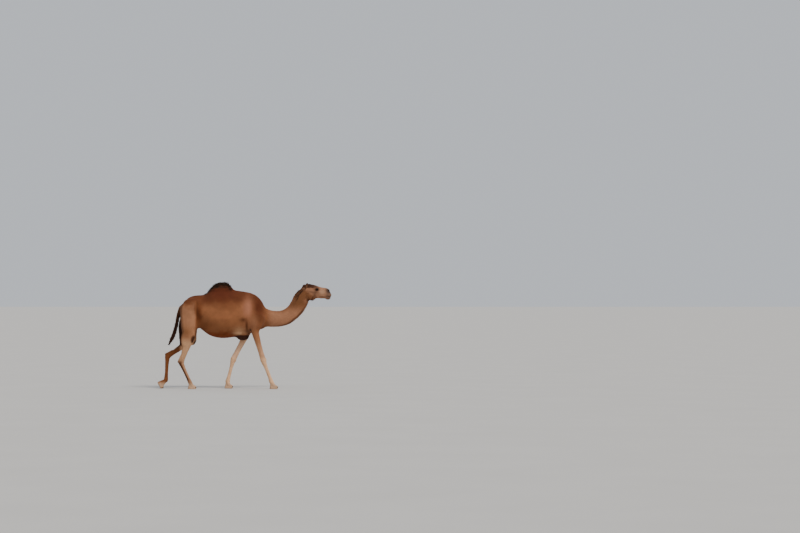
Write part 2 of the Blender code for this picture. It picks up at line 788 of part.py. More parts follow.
def drop_crumbs(obj):
    """Keeps the largest connected body of a piece; a cut may graze off a crumb."""
    bm = bmesh.new()
    bm.from_mesh(obj.data)
    waiting = set(bm.verts)
    bodies = []
    while waiting:
        found = [waiting.pop()]
        for vert in found:
            for edge in vert.link_edges:
                other = edge.other_vert(vert)
                if other in waiting:
                    waiting.remove(other)
                    found.append(other)
        bodies.append(found)
    bodies.sort(key=len)
    crumbs = [vert for found in bodies[:-1] for vert in found]
    bmesh.ops.delete(bm, geom=crumbs, context="VERTS")
    bm.to_mesh(obj.data)
    bm.free()


def part_piece(body, name, region, *removed):
    """A copy of the body inside a region and outside others; no region means everywhere."""
    piece = bpy.data.objects.new(name, body.data.copy())
    bpy.context.scene.collection.objects.link(piece)
    if region:
        boolean(piece, region, "INTERSECT")
    for cutter in removed:
        boolean(piece, cutter, "DIFFERENCE")
    bake_modifiers(piece)
    drop_crumbs(piece)


def grown(region, shift):
    """The same region moved a hair towards the piece it is cut from, which opens the gap."""
    return moved_copy(region, region.name + "_grown", Vector(shift) * GAP)


def socket(name, add, *details):
    return guide(inset_object(name + "_socket", add, *details, GAP))


def build_limbs(body, end, legs, pad, spread, across, foot_level, shift):
    """The legs, feet and nails of one end; returns the regions cut from the trunk."""
    taken = []
    for word, leg in legs.items():
        side = leg["side"]
        region = leg_region(f"{end}leg_{word}_region", side, across, leg["region"])
        foot = foot_region(f"{end}foot_{word}_region", leg, spread, foot_level)
        up = pad_frame(leg).to_3x3() @ Vector((0, 0, 1))
        part_piece(body, f"{end}leg_{word}", region, grown(foot, up))
        sockets = []
        for toe, place in ((side, "outer"), (-side, "inner")):
            name = f"nail_{end}_{word}_{place}"
            inset_object(name, add_nail, leg, pad, spread, toe)
            sockets.append(socket(name, add_nail, leg, pad, spread, toe))
        part_piece(body, f"{end}foot_{word}", foot, *sockets)
        taken.append(grown(region, (shift[0], -side * shift[1], shift[2])))
    return taken


# ---- Build ----------------------------------------------------------------
def centre_on_floor():
    """Puts the origin under the middle of the whole model."""
    objects = [obj for obj in bpy.data.objects if obj.type == "MESH"]
    places = np.array([tuple(v.co) for obj in objects for v in obj.data.vertices])
    low, high = places.min(axis=0), places.max(axis=0)
    shift = Matrix.Translation((-(low[0] + high[0]) / 2, -(low[1] + high[1]) / 2, -low[2]))
    for obj in objects:
        obj.data.transform(shift)


def material(name, colour, roughness):
    made = bpy.data.materials.new(name)
    made.use_nodes = True
    shader = made.node_tree.nodes["Principled BSDF"]
    shader.inputs["Base Color"].default_value = COLOURS[colour]
    shader.inputs["Roughness"].default_value = roughness
    shader.inputs["Metallic"].default_value = 0.0
    made.diffuse_color = COLOURS[colour]
    return made


def paint(obj):
    """Each piece gets a material of its own, in the coat colour of its place."""
    for start, colour, roughness in LOOKS:
        if obj.name.startswith(start):
            obj.data.materials.clear()
            obj.data.materials.append(material("mat_" + obj.name, colour, roughness))
            return


def main():
    for old in list(bpy.data.objects):
        bpy.data.objects.remove(old)
    body = whole_body()
    head_region = side_prism("head_region", HEAD_REGION)
    neck_region = side_prism("neck_region", NECK_REGION)
    hump_region = side_prism("hump_region", HUMP_REGION)
    pad_region = prism("chest_pad_region", CHEST_PAD_ACROSS, "X", *CHEST_PAD_ALONG)

    sockets = []
    for side, word in ((RIGHT, "right"), (LEFT, "left")):
        for name, add in (("eye_" + word, add_eye), ("ear_" + word, add_ear)):
            inset_object(name, add, side)
            sockets.append(socket(name, add, side))
    part_piece(body, "head", head_region, *sockets)
    part_piece(body, "neck", neck_region, grown(head_region, (-2, 0, -2)))
    part_piece(body, "hump", hump_region)
    part_piece(body, "chest_pad", pad_region)

    taken = build_limbs(
        body, "fore", FORE_LEGS, FORE_PAD, FORE_FOOT_SPREAD, FORE_ACROSS, FORE_FOOT_CUT, (-2, 2, 2)
    )
    taken += build_limbs(
        body, "hind", HIND_LEGS, HIND_PAD, HIND_FOOT_SPREAD, HIND_ACROSS, HIND_FOOT_CUT, (2, 1, 2)
    )
    inset_object("tail", add_tail)
    taken.append(socket("tail", add_tail))
    taken.append(grown(neck_region, (-1.2, 0, 0)))
    taken.append(grown(hump_region, (0, 0, -1.2)))
    taken.append(grown(pad_region, (0, 0, 1)))
    part_piece(body, "trunk", None, *taken)

    bpy.data.objects.remove(body)
    for obj in list(bpy.data.objects):
        if obj.hide_render:
            bpy.data.objects.remove(obj)
        else:
            paint(obj)
    centre_on_floor()


main()
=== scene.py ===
"""The looks of the dromedary camel: one skin, its coat of tufts, eyes, nails and light.

Metres, in the row's frame: +X is forward, +Y is the camel's left, +Z is up.
"""

import math

import bmesh
import bpy
import numpy as np
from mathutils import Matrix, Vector


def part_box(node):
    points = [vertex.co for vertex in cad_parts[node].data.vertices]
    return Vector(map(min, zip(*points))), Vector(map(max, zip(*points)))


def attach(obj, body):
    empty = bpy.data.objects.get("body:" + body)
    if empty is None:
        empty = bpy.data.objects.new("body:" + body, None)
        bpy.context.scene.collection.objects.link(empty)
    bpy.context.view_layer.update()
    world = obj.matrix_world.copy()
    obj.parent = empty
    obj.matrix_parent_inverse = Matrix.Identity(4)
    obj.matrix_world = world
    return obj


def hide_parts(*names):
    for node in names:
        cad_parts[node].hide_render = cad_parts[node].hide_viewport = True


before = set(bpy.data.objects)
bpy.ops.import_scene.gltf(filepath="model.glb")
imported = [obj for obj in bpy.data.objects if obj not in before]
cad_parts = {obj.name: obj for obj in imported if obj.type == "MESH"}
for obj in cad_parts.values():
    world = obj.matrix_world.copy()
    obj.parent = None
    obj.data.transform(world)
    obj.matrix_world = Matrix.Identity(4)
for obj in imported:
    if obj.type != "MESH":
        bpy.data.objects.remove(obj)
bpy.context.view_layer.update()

RNG = np.random.default_rng(7)
SIDES = {"right": -1, "left": 1}
SHIFT = 0.01545  # from the body's own measures to the row's origin, along X

BODY_NODES = ["trunk", "hump", "chest_pad", "neck", "tail"]
LEG_NODES = ["foreleg_left", "foreleg_right", "hindleg_left", "hindleg_right"]
FOOT_NODES = [name.replace("leg", "foot") for name in LEG_NODES]
HEAD_NODES = ["head", "ear_left", "ear_right"]
FLESH = BODY_NODES + LEG_NODES + FOOT_NODES + HEAD_NODES

BODY_VOXEL = 0.010
HEAD_VOXEL = 0.0033
FOOT_VOXEL = 0.0042
SWELL = 0.0006  # how far each solid swells, to close the gaps between neighbours
SAME_PLACE = 1e-5  # vertices nearer than this are one
NECK_CUT = (0.985, 0, 1.532)  # where the fine head meets the plainer body
UP_NECK = (0.563, 0, 0.826)  # across that cut, towards the head
FOOT_CUT = 0.300  # where the fine feet meet the plainer legs
LEGS_PART = -0.5  # forelegs stand in front of this x, hind legs behind it


# ---- Meshes as arrays ----
def read(rows, name, kind=float, width=3):
    """A value of each of a mesh's vertices, edges or faces, as an array."""
    out = np.empty(len(rows) * width, kind)
    rows.foreach_get(name, out)
    return out.reshape(-1, width)


def get_co(mesh):
    return read(mesh.vertices, "co")


def get_normals(mesh):
    return read(mesh.vertex_normals, "vector")


def set_co(mesh, co):
    mesh.vertices.foreach_set("co", co.ravel())
    mesh.update()


def edit(mesh, work, *values):
    """Opens a mesh, does some work on it, and gives what the work gives."""
    bm = bmesh.new()
    bm.from_mesh(mesh)
    result = work(bm, *values)
    bm.to_mesh(mesh)
    bm.free()
    return result


def placed(name, data):
    """A new object in the scene."""
    obj = bpy.data.objects.new(name, data)
    bpy.context.scene.collection.objects.link(obj)
    return obj


def neighbour_mean(values, edges):
    """The mean of each vertex's neighbours, for an (n, k) array."""
    own, other = np.concatenate([edges, edges[:, ::-1]]).T
    number = np.bincount(own, minlength=len(values))
    totals = [np.bincount(own, column[other], len(values)) for column in values.T]
    return np.column_stack(totals) / np.maximum(number, 1)[:, None]


def smoothed(values, edges, rounds, weight):
    for _ in range(rounds):
        values = values + 0.5 * weight * (neighbour_mean(values, edges) - values)
    return values


def relax(mesh, rounds, weight=1.0):
    """Smooths a mesh, then gives back the broad part of the change, so that it doesn't shrink."""
    co, edges = get_co(mesh), read(mesh.edges, "vertices", int, 2)
    weight = np.broadcast_to(weight, (len(co),))[:, None]
    even = smoothed(co, edges, rounds, weight)
    set_co(mesh, even + smoothed(co - even, edges, rounds, weight))


def step(value, low, high):
    """0 under low, 1 over high and smooth between them; low may be over high."""
    t = np.clip((value - low) / (high - low), 0, 1)
    return t * t * (3 - 2 * t)


def lump(co, centre, radii):
    """1 at the centre, fading to 0 at about twice the radii."""
    return np.exp(-(((co - np.array(centre)) / np.array(radii)) ** 2).sum(axis=1))


def band(value, width):
    """1 where the value is 0, fading to 0 at about twice the width."""
    return np.exp(-((value / width) ** 2))


def both_sides(co):
    """Places with y made positive, for features that both sides share."""
    return np.column_stack([co[:, 0], np.abs(co[:, 1]), co[:, 2]])


def own_measures(co):
    """Places in the body's own measures, in which paths, masks and markings are stated."""
    return co - np.array([SHIFT, 0, 0])


def unit(rows):
    """Directions made one long."""
    return rows / np.maximum(np.linalg.norm(rows, axis=1), 1e-6)[:, None]


def height_on(line, x):
    """Height at x of a line given by its points, each x and z."""
    return np.interp(x, *np.array(line).T)


# ---- Skin ----
def union(name, nodes, voxel):
    """One closed surface over several nodes, swollen by a hair so that their gaps close."""
    whole = bmesh.new()
    for node in nodes:
        bm = bmesh.new()
        bm.from_mesh(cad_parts[node].data)
        bmesh.ops.remove_doubles(bm, verts=bm.verts, dist=SAME_PLACE)
        bm.normal_update()
        for vert in bm.verts:
            vert.co += vert.normal * SWELL
        swollen = bpy.data.meshes.new("swollen")
        bm.to_mesh(swollen)
        bm.free()
        whole.from_mesh(swollen)
        bpy.data.meshes.remove(swollen)
    mesh = bpy.data.meshes.new(name)
    whole.to_mesh(mesh)
    whole.free()
    obj = placed(name, mesh)
    remesh = obj.modifiers.new("union", "REMESH")
    remesh.mode = "VOXEL"
    remesh.voxel_size = voxel
    graph = bpy.context.evaluated_depsgraph_get()
    result = bpy.data.meshes.new_from_object(obj.evaluated_get(graph))
    bpy.data.objects.remove(obj)
    return result


def keep_side(bm, point, normal):
    """Cuts a mesh at a plane and keeps what lies on the normal's side, open at the cut."""
    everything = bm.verts[:] + bm.edges[:] + bm.faces[:]
    bmesh.ops.bisect_plane(
        bm, geom=everything, dist=SAME_PLACE, plane_co=point, plane_no=normal, clear_inner=True
    )


def bulk_weight(co):
    """How far the facets of the solids are smoothed: fully on the trunk, less where it is thin."""
    p = own_measures(co)
    thin = step(p[:, 2], 1.10, 0.80)
    tail = step(follow(p, "tail")["away"], 0.070, 0.045) * step(p[:, 0], -1.21, -1.24)
    return (1 - 0.75 * thin) * (1 - 0.92 * tail)


def even_cheeks(mesh):
    """Plain smoothing of the sides of the head, which fills the furrows between muscles."""
    co = get_co(mesh)
    p = own_measures(co)
    aside = step(np.abs(get_normals(mesh)[:, 1]), 0.25, 0.60)
    along = step(p[:, 0], 1.14, 1.20) * step(p[:, 0], 1.54, 1.48) * step(p[:, 2], 1.69, 1.72)
    weight = aside * along * (1 - ear_mask(p))
    edges = read(mesh.edges, "vertices", int, 2)
    set_co(mesh, smoothed(co, edges, 60, weight[:, None]))


def bridge(bm):
    """Joins the open rims that face each other, at the neck and above the four feet."""
    groups = {}
    for edge in [edge for edge in bm.edges if edge.is_boundary]:
        middle = (edge.verts[0].co + edge.verts[1].co) / 2
        at_foot = middle.z < 2 * FOOT_CUT
        key = (middle.x > LEGS_PART, middle.y > 0) if at_foot else "neck"
        groups.setdefault(key, []).append(edge)
    for edges in groups.values():
        bmesh.ops.bridge_loops(bm, edges=edges)
    bmesh.ops.recalc_face_normals(bm, faces=bm.faces[:])


def joined_skin():
    """The whole skin as one mesh: a plain body with a fine head and fine feet bridged on."""
    body = union("body", BODY_NODES + LEG_NODES, BODY_VOXEL)
    relax(body, 60, bulk_weight(get_co(body)))
    edit(body, keep_side, NECK_CUT, -Vector(UP_NECK))
    edit(body, keep_side, (0, 0, FOOT_CUT), (0, 0, 1))
    head = union("head", HEAD_NODES + ["eye_left", "eye_right", "neck"], HEAD_VOXEL)
    relax(head, 14, 1 - 0.7 * ear_mask(own_measures(get_co(head))))
    even_cheeks(head)
    edit(head, keep_side, NECK_CUT, UP_NECK)
    pieces = [body, head]
    for leg, foot in zip(LEG_NODES, FOOT_NODES):
        mesh = union(foot, [leg, foot], FOOT_VOXEL)
        relax(mesh, 24)
        edit(mesh, keep_side, (0, 0, FOOT_CUT), (0, 0, -1))
        pieces.append(mesh)
    bm = bmesh.new()
    for mesh in pieces:
        bm.from_mesh(mesh)
        bpy.data.meshes.remove(mesh)
    bridge(bm)
    mesh = bpy.data.meshes.new("skin")
    bm.to_mesh(mesh)
    bm.free()
    co = get_co(mesh)
    neck_seam = band((co - np.array(NECK_CUT)) @ np.array(UP_NECK), 0.025) * (co[:, 2] > 1)
    relax(mesh, 12, np.maximum(neck_seam, band(co[:, 2] - FOOT_CUT, 0.020)))
    return mesh


# ---- The lie of the coat ----
# A radius for each region, and its middle line, run the way the hair lies.
PATHS = {
    "head": (0.085, (1.66, 0, 1.775), (1.52, 0, 1.80), (1.36, 0, 1.83), (1.20, 0, 1.85), (1.09, 0, 1.84)),
    "neck": (0.125, (1.11, 0, 1.79), (1.061, 0, 1.691), (0.972, 0, 1.526), (0.836, 0, 1.391))
    + ((0.665, 0, 1.328), (0.470, 0, 1.332), (0.240, 0, 1.395)),
    "trunk": (0.34, (0.30, 0, 1.38), (0.05, 0, 1.43), (-0.4, 0, 1.41), (-0.9, 0, 1.47), (-1.25, 0, 1.40)),
    "foreleg_right": (0.062, (0.25, -0.165, 1.25), (0.196, -0.17, 1.104), (0.358, -0.148, 0.54))
    + ((0.516, -0.14, 0.128), (0.60, -0.14, 0.0)),
    "foreleg_left": (0.062, (0.18, 0.165, 1.25), (0.052, 0.17, 1.10), (-0.23, 0.148, 0.555))
    + ((-0.338, 0.14, 0.132), (-0.27, 0.14, 0.0)),
    "hindleg_right": (0.082, (-1.07, -0.15, 1.45), (-1.04, -0.205, 0.985), (-1.192, -0.15, 0.486))
    + ((-1.022, -0.135, 0.112), (-0.95, -0.135, 0.0)),
    "hindleg_left": (0.082, (-1.085, 0.15, 1.43), (-1.05, 0.205, 0.915), (-1.486, 0.15, 0.60))
    + ((-1.51, 0.135, 0.156), (-1.58, 0.135, 0.0)),
    "tail": (0.030, (-1.215, 0, 1.55), (-1.262, 0, 1.42), (-1.282, 0, 1.305), (-1.304, 0, 1.19))
    + ((-1.362, 0, 0.998), (-1.44, 0, 0.845)),
}


def follow(p, region):
    """The nearest place on a region's middle line: how far away, where, at what share of the
    line's length and at what turn round it, and the line's course there."""
    path = np.array(PATHS[region][1:], float)
    spans = np.linalg.norm(np.diff(path, axis=0), axis=1)
    starts = np.concatenate([[0], np.cumsum(spans)])
    best = {"away": np.full(len(p), 1e9), "share": np.zeros(len(p)), "turn": np.zeros(len(p))}
    best.update({"place": np.zeros((len(p), 3)), "course": np.zeros((len(p), 3))})
    for a, b, start, span in zip(path, path[1:], starts, spans):
        u = (b - a) / span
        t = np.clip((p - a) @ u, 0, span)
        off = p - a - t[:, None] * u
        distance = np.linalg.norm(off, axis=1)
        aside = np.array([0, 1, 0]) - u * u[1]
        aside /= np.linalg.norm(aside)
        near = distance < best["away"]
        best["away"][near] = distance[near]
        best["share"][near] = (start + t[near]) / starts[-1]
        best["turn"][near] = np.arctan2(off[near] @ aside, off[near] @ np.cross(u, aside))
        best["place"][near] = (p - off)[near]
        best["course"][near] = u
    return best


HASH_PRIMES = (73856093, 19349663, 83492791)  # they mix the numbers of a lump's cell


def noise(p, size, seed=0):
    """Smooth random values from 0 to 1 in lumps about size across."""
    q = p / size + seed * 7.31
    cell = np.floor(q).astype(np.int64)
    f = q - cell
    f = f * f * (3 - 2 * f)
    total = np.zeros(len(p))
    for corner in range(8):
        bit = np.array([corner & 1, corner >> 1 & 1, corner >> 2 & 1])
        x, y, z = (cell + bit).T * np.array(HASH_PRIMES)[:, None]
        key = ((x ^ y ^ z) * 2654435761 + seed) & 0xFFFFFFFF
        key = ((key >> 15) ^ key) * 2246822519 & 0xFFFFFFFF
        value = ((key >> 13) ^ key) % 65536 / 65535
        total += value * np.where(bit, f, 1 - f).prod(axis=1)
    return total


# ---- Places on the body ----
EYE_MIDDLE = (1.366, 0.0715, 1.8765)
EAR_ROOT = (1.163, 0.060, 1.868)
EAR_TIP = (1.184, 0.104, 2.003)
EAR_LENGTH = 0.142
EAR_WIDTH = 0.036  # half width
EAR_FACING = (0.50, 0.866, 0)
# Height of the mouth's line along X, from its corner to the front.
MOUTH = ((1.40, 1.758), (1.425, 1.747), (1.46, 1.741), (1.50, 1.741), (1.55, 1.744))
MOUTH += ((1.60, 1.747), (1.66, 1.753))
NOSTRIL = (1.595, 0.041, 1.866)
NOSTRIL_SLIT = (-0.57, 0.0, 0.82)  # the slit rises backwards
NOSTRIL_LENGTH = 0.021  # half lengths
NOSTRIL_WIDTH = 0.0030
NOSTRIL_DEPTH = 0.012
GROOVE = ((1.609, 0.033, 1.848), (1.630, 0.004, 1.828))  # from nostril to split lip
# Height of the hump's top along X.
HUMP_TOP = ((-0.815, 1.765), (-0.735, 1.815), (-0.665, 1.900), (-0.590, 1.978), (-0.505, 2.022))
HUMP_TOP += ((-0.420, 2.038), (-0.345, 2.034), (-0.285, 2.000), (-0.232, 1.918), (-0.170, 1.850))
# Bare pads on which a camel lies: middles and radii.
CHEST_PAD = ((-0.040, 0, 0.950), (0.140, 0.130, 0.090))
CALLUSES = (
    ((0.118, -0.172, 1.100), (0.026, 0.034, 0.040)),  # points of the elbows
    ((-0.020, 0.172, 1.100), (0.026, 0.034, 0.040)),
    ((-0.962, -0.222, 0.940), (0.044, 0.050, 0.068)),  # stifles
    ((-0.970, 0.222, 0.872), (0.044, 0.050, 0.068)),
)
RAISED_SOLE = (-0.866, 0, -0.5)  # way that the sole of the trailing foot faces
NAIL_RADIUS = 0.020


def nail_roots():
    """Where the nails leave the skin: high on each, a third of the way along it."""
    roots = []
    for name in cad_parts:
        if name.startswith("nail"):
            low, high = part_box(name)
            back = low[0] + 0.3 * (high[0] - low[0]) - SHIFT
            roots.append((back, (low[1] + high[1]) / 2, high[2]))
    return roots


NAIL_ROOTS = nail_roots()


def ear_mask(p):
    high = step(p[:, 2], 1.895, 1.925)
    return high * step(np.abs(p[:, 1]), 0.062, 0.074) * step(p[:, 0], 1.240, 1.222)


def ear_opening(q, n):
    """From 0 to 1 in the hollow of the ears."""
    axis = np.array(EAR_TIP) - np.array(EAR_ROOT)
    axis /= np.linalg.norm(axis)
    facing = np.array(EAR_FACING) - axis * (axis @ np.array(EAR_FACING))
    facing /= np.linalg.norm(facing)
    off = q - np.array(EAR_ROOT)
    across = np.abs(off @ np.cross(axis, facing)) / EAR_WIDTH
    along = (off @ axis) / EAR_LENGTH
    return step(n @ facing, 0.2, 0.6) * step(across, 0.75, 0.35) * step(along, 0.95, 0.75)


def nostril_measures(q, n):
    """Distances along and across the nostril's slit, and a mask that keeps to it."""
    off = q - np.array(NOSTRIL)
    slit = np.array(NOSTRIL_SLIT)
    nq = both_sides(n)
    along = off @ slit
    across = (off * np.cross(nq, slit)).sum(axis=1)
    near = np.exp(-((np.linalg.norm(off, axis=1) / 0.034) ** 6))
    return along, across + 10 * along**2, near


def slit_mask(along, across, length, width):
    """1 within a slit of these half measures, with blunt ends."""
    return np.exp(-((along / length) ** 4) - (across / width) ** 2)


# ---- Masks ----
def trunk_masks(p, n, ragged):
    x, y, z = p.T
    below_top = height_on(HUMP_TOP, x) - z
    rim = ((x + 0.485) / 0.290) ** 2 + (y / 0.095) ** 2
    m = {}
    m["crest"] = (
        step(below_top + 0.05 * ragged, 0.100, 0.072)
        * step(x + 0.04 * ragged, -0.765, -0.700)
        * step(x + 0.04 * ragged, -0.215, -0.255)
        * step(rim + 0.8 * ragged, 1.20, 0.85)
    )
    m["hump"] = step(z, 1.80, 1.88) * step(x, -0.86, -0.74) * step(x, -0.12, -0.22)
    # rear-facing sides of the thighs, where painted shade is laid
    m["rear"] = step(-n[:, 0], 0.30, 0.80) * step(x, -0.98, -1.05) * step(z, 0.70, 0.85)
    m["tail"] = step(follow(p, "tail")["away"], 0.060, 0.045) * step(x, -1.222, -1.235)
    return m


def neck_masks(p, n, ragged):
    x, _, z = p.T
    neck_up = -0.60 * n[:, 0] + 0.80 * n[:, 2]
    to_head = x * UP_NECK[0] + z * UP_NECK[2]
    on_neck = step(x, 0.40, 0.55) * step(to_head, 2.23, 2.16) * (z > 1.1)
    on_top = step(neck_up + 0.08 * ragged, 0.12, 0.50)
    m = {"neck": on_neck, "head": step(to_head, 2.16, 2.23)}
    m["nape"] = on_neck * on_top * step(x + 0.05 * ragged, 0.92, 1.02)
    m["mane"] = on_neck * step(neck_up, 0.2, 0.9)
    m["throat"] = on_neck * step(neck_up, -0.35, -0.85)
    under_jaw = m["head"] * step(n[:, 2], -0.30, -0.80) * step(x, 1.355, 1.315)
    m["beard"] = m["throat"] * step(x, 0.84, 1.00) + 0.6 * under_jaw
    return m


def head_masks(p, ragged, on_head):
    x, y, z = p.T
    q = both_sides(p)
    m = {}
    m["crown"] = on_head * step(z + 0.03 * ragged, 1.950, 1.972) * step(x, 1.36, 1.28)
    m["crown"] *= step(np.abs(y), 0.075, 0.050)
    m["cap"] = on_head * step(z + 0.02 * ragged, 1.906, 1.930) * step(x, 1.42, 1.34)
    m["ear"] = ear_mask(p)
    m["muzzle"] = on_head * step(x, 1.50, 1.60)
    m["nose"] = lump(q, (1.602, 0.030, 1.862), (0.052, 0.046, 0.060))
    # round the eye: dark skin, with painted shade of the brow and lids
    m["eye"] = lump(q, (1.370, 0.085, 1.879), (0.042, 0.05, 0.036))
    return m


def limb_masks(p, n, on_head):
    x, y, z = p.T
    on_foreleg = (x > LEGS_PART) & ((x > -0.05) | (z < 0.90)) & (np.abs(y) > 0.07) & (z < 1.15)
    m = {"fore": np.where(on_foreleg, step(z, 1.16, 0.98), 0)}
    m["feet"] = step(z, 0.13, 0.07)
    m["cuticle"] = np.maximum.reduce([lump(p, root, [NAIL_RADIUS] * 3) for root in NAIL_ROOTS])
    bare = 2.5 * lump(p, *CHEST_PAD) * step(z, 1.028, 1.008) * step(np.abs(y), 0.112, 0.096)
    for middle, radii in CALLUSES:
        bare = np.maximum(bare, 1.2 * lump(p, middle, radii))
    m["callus"] = np.clip(1.5 * bare - 0.2, 0, 1) * (1 - on_head)
    under = np.where((x < -1.50) & (y > 0), n @ np.array(RAISED_SOLE), -n[:, 2])
    m["sole"] = step(under, 0.75, 0.90) * step(z, 0.20, 0.17)
    return m


def masks(p, n):
    """Soft masks, from 0 to 1, of the places where the coat and its colours change."""
    ragged = noise(p, 0.035, 1) - 0.5
    m = {**trunk_masks(p, n, ragged), **neck_masks(p, n, ragged)}
    m.update(head_masks(p, ragged, m["head"]))
    m.update(limb_masks(p, n, m["head"]))
    return m


# ---- The coat's measures ----
def coat_length(p, m):
    """Length of the hair at each place."""
    x, _, z = p.T
    shaggy = noise(p, 0.11, 4)
    length = 0.020 + 0.010 * step(z, 1.45, 1.75) * shaggy * (1 - m["head"]) + 0.006 * m["neck"]
    for there, share in (
        (0.034, m["hump"]),
        (0.040, m["nape"]),
        (0.028, 0.8 * m["mane"]),
        (0.034, m["throat"] * step(x, 0.5, 0.9)),
        (0.058, m["beard"]),
        (0.015, step(z, 0.98, 0.85)),
        (0.010, step(z, 0.60, 0.40)),
        (0.0095, m["head"]),
        (0.0065, m["muzzle"]),
        (0.034, m["crown"]),
        (0.010, m["ear"]),
        (0.007, m["feet"]),
        (0.014, m["cuticle"]),
        (0.040 + 0.036 * noise(p, 0.045, 6), m["crest"]),
        (0.062 - 0.022 * step(z, 1.00, 0.88), m["tail"] * step(z, 1.52, 1.36)),
    ):
        length = length + (there - length) * share
    return length * (1 - 0.8 * m["callus"]) * (1 - 0.8 * m["sole"])


def coat_depth(p, m):
    """How far the skin lies inside the solids."""
    depth = 0.0042 - 0.0018 * step(p[:, 2], 0.95, 0.70) - 0.0022 * m["head"]
    depth += 0.020 * m["crest"] + 0.004 * m["hump"] * (1 - m["crest"])
    depth += 0.012 * m["nape"] + 0.004 * m["mane"] + 0.003 * m["throat"] + 0.020 * m["beard"]
    depth += 0.008 * m["crown"]
    depth -= 0.0065 * m["cuticle"]
    return depth * (1 - 0.6 * m["callus"]) * step(p[:, 2], 0.006, 0.03)


DROOP = {"trunk": 0.45, "neck": 0.25}  # how far the hair's course sinks from its path


def lie(p, n, m):
    """Unit directions along the skin in which the hair lies."""
    total = np.zeros((len(p), 3))
    for name, (radius, *_) in PATHS.items():
        near = follow(p, name)
        course = near["course"] - np.array([0, 0, DROOP.get(name, 0)])
        total += course / (near["away"] / radius + 0.05)[:, None] ** 6
    total = unit(total)
    total += (follow(p, "tail")["course"] - total) * m["tail"][:, None]
    swirl = np.column_stack([noise(p, 0.09, seed) for seed in (11, 12, 13)]) - 0.5
    tousle = np.column_stack([noise(p, 0.035, seed) for seed in (14, 15, 16)]) - 0.5
    loose = np.maximum.reduce([m["crest"], m["hump"] * 0.6, m["nape"], m["crown"], m["beard"]])
    tidy = 1 - 0.8 * m["tail"][:, None]
    total += 0.45 * swirl * tidy + (0.25 + 1.0 * loose)[:, None] * tousle * tidy
    total[:, 0] += 0.8 * m["cuticle"]
    total[:, 2] += 0.25 * m["crest"] + 0.3 * m["ear"] - 0.8 * m["beard"]
    total -= n * (total * n).sum(axis=1)[:, None]
    return unit(total)


# ---- Markings ----
def tone(*rgb):
    """A colour given as it looks on a screen, 0 to 255, made linear."""
    c = np.array(rgb) / 255
    return np.where(c <= 0.04045, c / 12.92, ((c + 0.055) / 1.055) ** 2.4)


# Soft patches, the same on both sides: colour, strength, middle and radii.
FLANK_PATCHES = (
    ((98, 47, 27), 1.2, (-0.45, 0, 1.82), (0.30, 0.6, 0.15)),  # sides of the hump
    ((176, 130, 94), 1.3, (-0.075, 0.2, 1.09), (0.105, 0.2, 0.075)),  # pale behind the elbow
    ((214, 168, 128), 1.3, (-0.07, 0.2, 1.055), (0.105, 0.2, 0.026)),  # palest over the pad
    ((110, 58, 28), 1.15, (-0.85, 0.2, 1.40), (0.065, 0.2, 0.27)),  # painted shade in the hollow before the thigh
    ((128, 75, 42), 0.8, (-0.74, 0.2, 1.17), (0.15, 0.2, 0.11)),  # painted shade low on the flank, towards the belly
)
SHOULDER_PATCHES = (
    ((176, 116, 87), 1.1, (0.075, 0.2, 1.54), (0.085, 0.3, 0.19)),  # painted highlight on the shoulder blade
    ((92, 43, 20), 1.15, (0.275, 0.1, 1.48), (0.098, 0.2, 0.28)),  # before the shoulder
    ((108, 58, 32), 0.7, (0.315, 0.1, 1.37), (0.085, 0.2, 0.15)),  # breast
    ((92, 52, 28), 1.0, (-0.015, 0.2, 1.31), (0.060, 0.2, 0.045)),  # painted shade in the hollow behind the arm
    ((82, 42, 20), 1.0, (0.052, 0.2, 1.19), (0.024, 0.2, 0.115)),  # painted shade along the line down to the elbow
    ((160, 108, 76), 0.8, (0.19, 0.2, 1.25), (0.08, 0.2, 0.14)),  # upper arm
    ((60, 30, 14), 1.2, (0.080, 0.14, 1.070), (0.045, 0.2, 0.040)),  # dark callus on the point of the elbow, with painted shade of the armpit under it
)
FACE_PATCHES = (
    ((158, 106, 76), 0.8, (1.165, 0.06, 1.665), (0.050, 0.1, 0.045)),  # painted light on the throat latch, against the shade under the head
    ((182, 140, 110), 0.9, (1.470, 0.05, 1.83), (0.075, 0.1, 0.06)),  # pale side of the nose
)


def patches(q, rows):
    """Layers of markings, each a colour and its amounts."""
    return [(rgb, strength * lump(q, middle, radii)) for rgb, strength, middle, radii in rows]


def trunk_layers(p, q):
    x, _, z = p.T
    soft = 0.10 * (noise(p, 0.16, 21) - 0.5) + 0.05 * (noise(p, 0.05, 22) - 0.5)
    belly_shade = step(z + soft, 1.16, 1.02) * step(x, -0.95, -0.85) * step(x, 0.06, -0.04)
    thigh = step(x + 0.3 * soft, -0.905, -0.945)
    return [
        ((105, 57, 32), step(z + soft, 1.46, 1.74) * step(x, 0.50, 0.35)),  # back
        # painted shade along the underside of the belly
        ((124, 61, 26), belly_shade),
        *patches(q, FLANK_PATCHES),
        ((169, 117, 84), thigh * step(z + soft, 1.68, 1.50)),
        ((148, 98, 62), 0.9 * thigh * lump(q, (-1.09, 0.2, 1.08), (0.12, 0.3, 0.10))),
        ((208, 160, 120), step(x, -0.86, -0.92) * step(z, 1.00, 0.85)),  # gaskins
        *patches(q, SHOULDER_PATCHES),
    ]


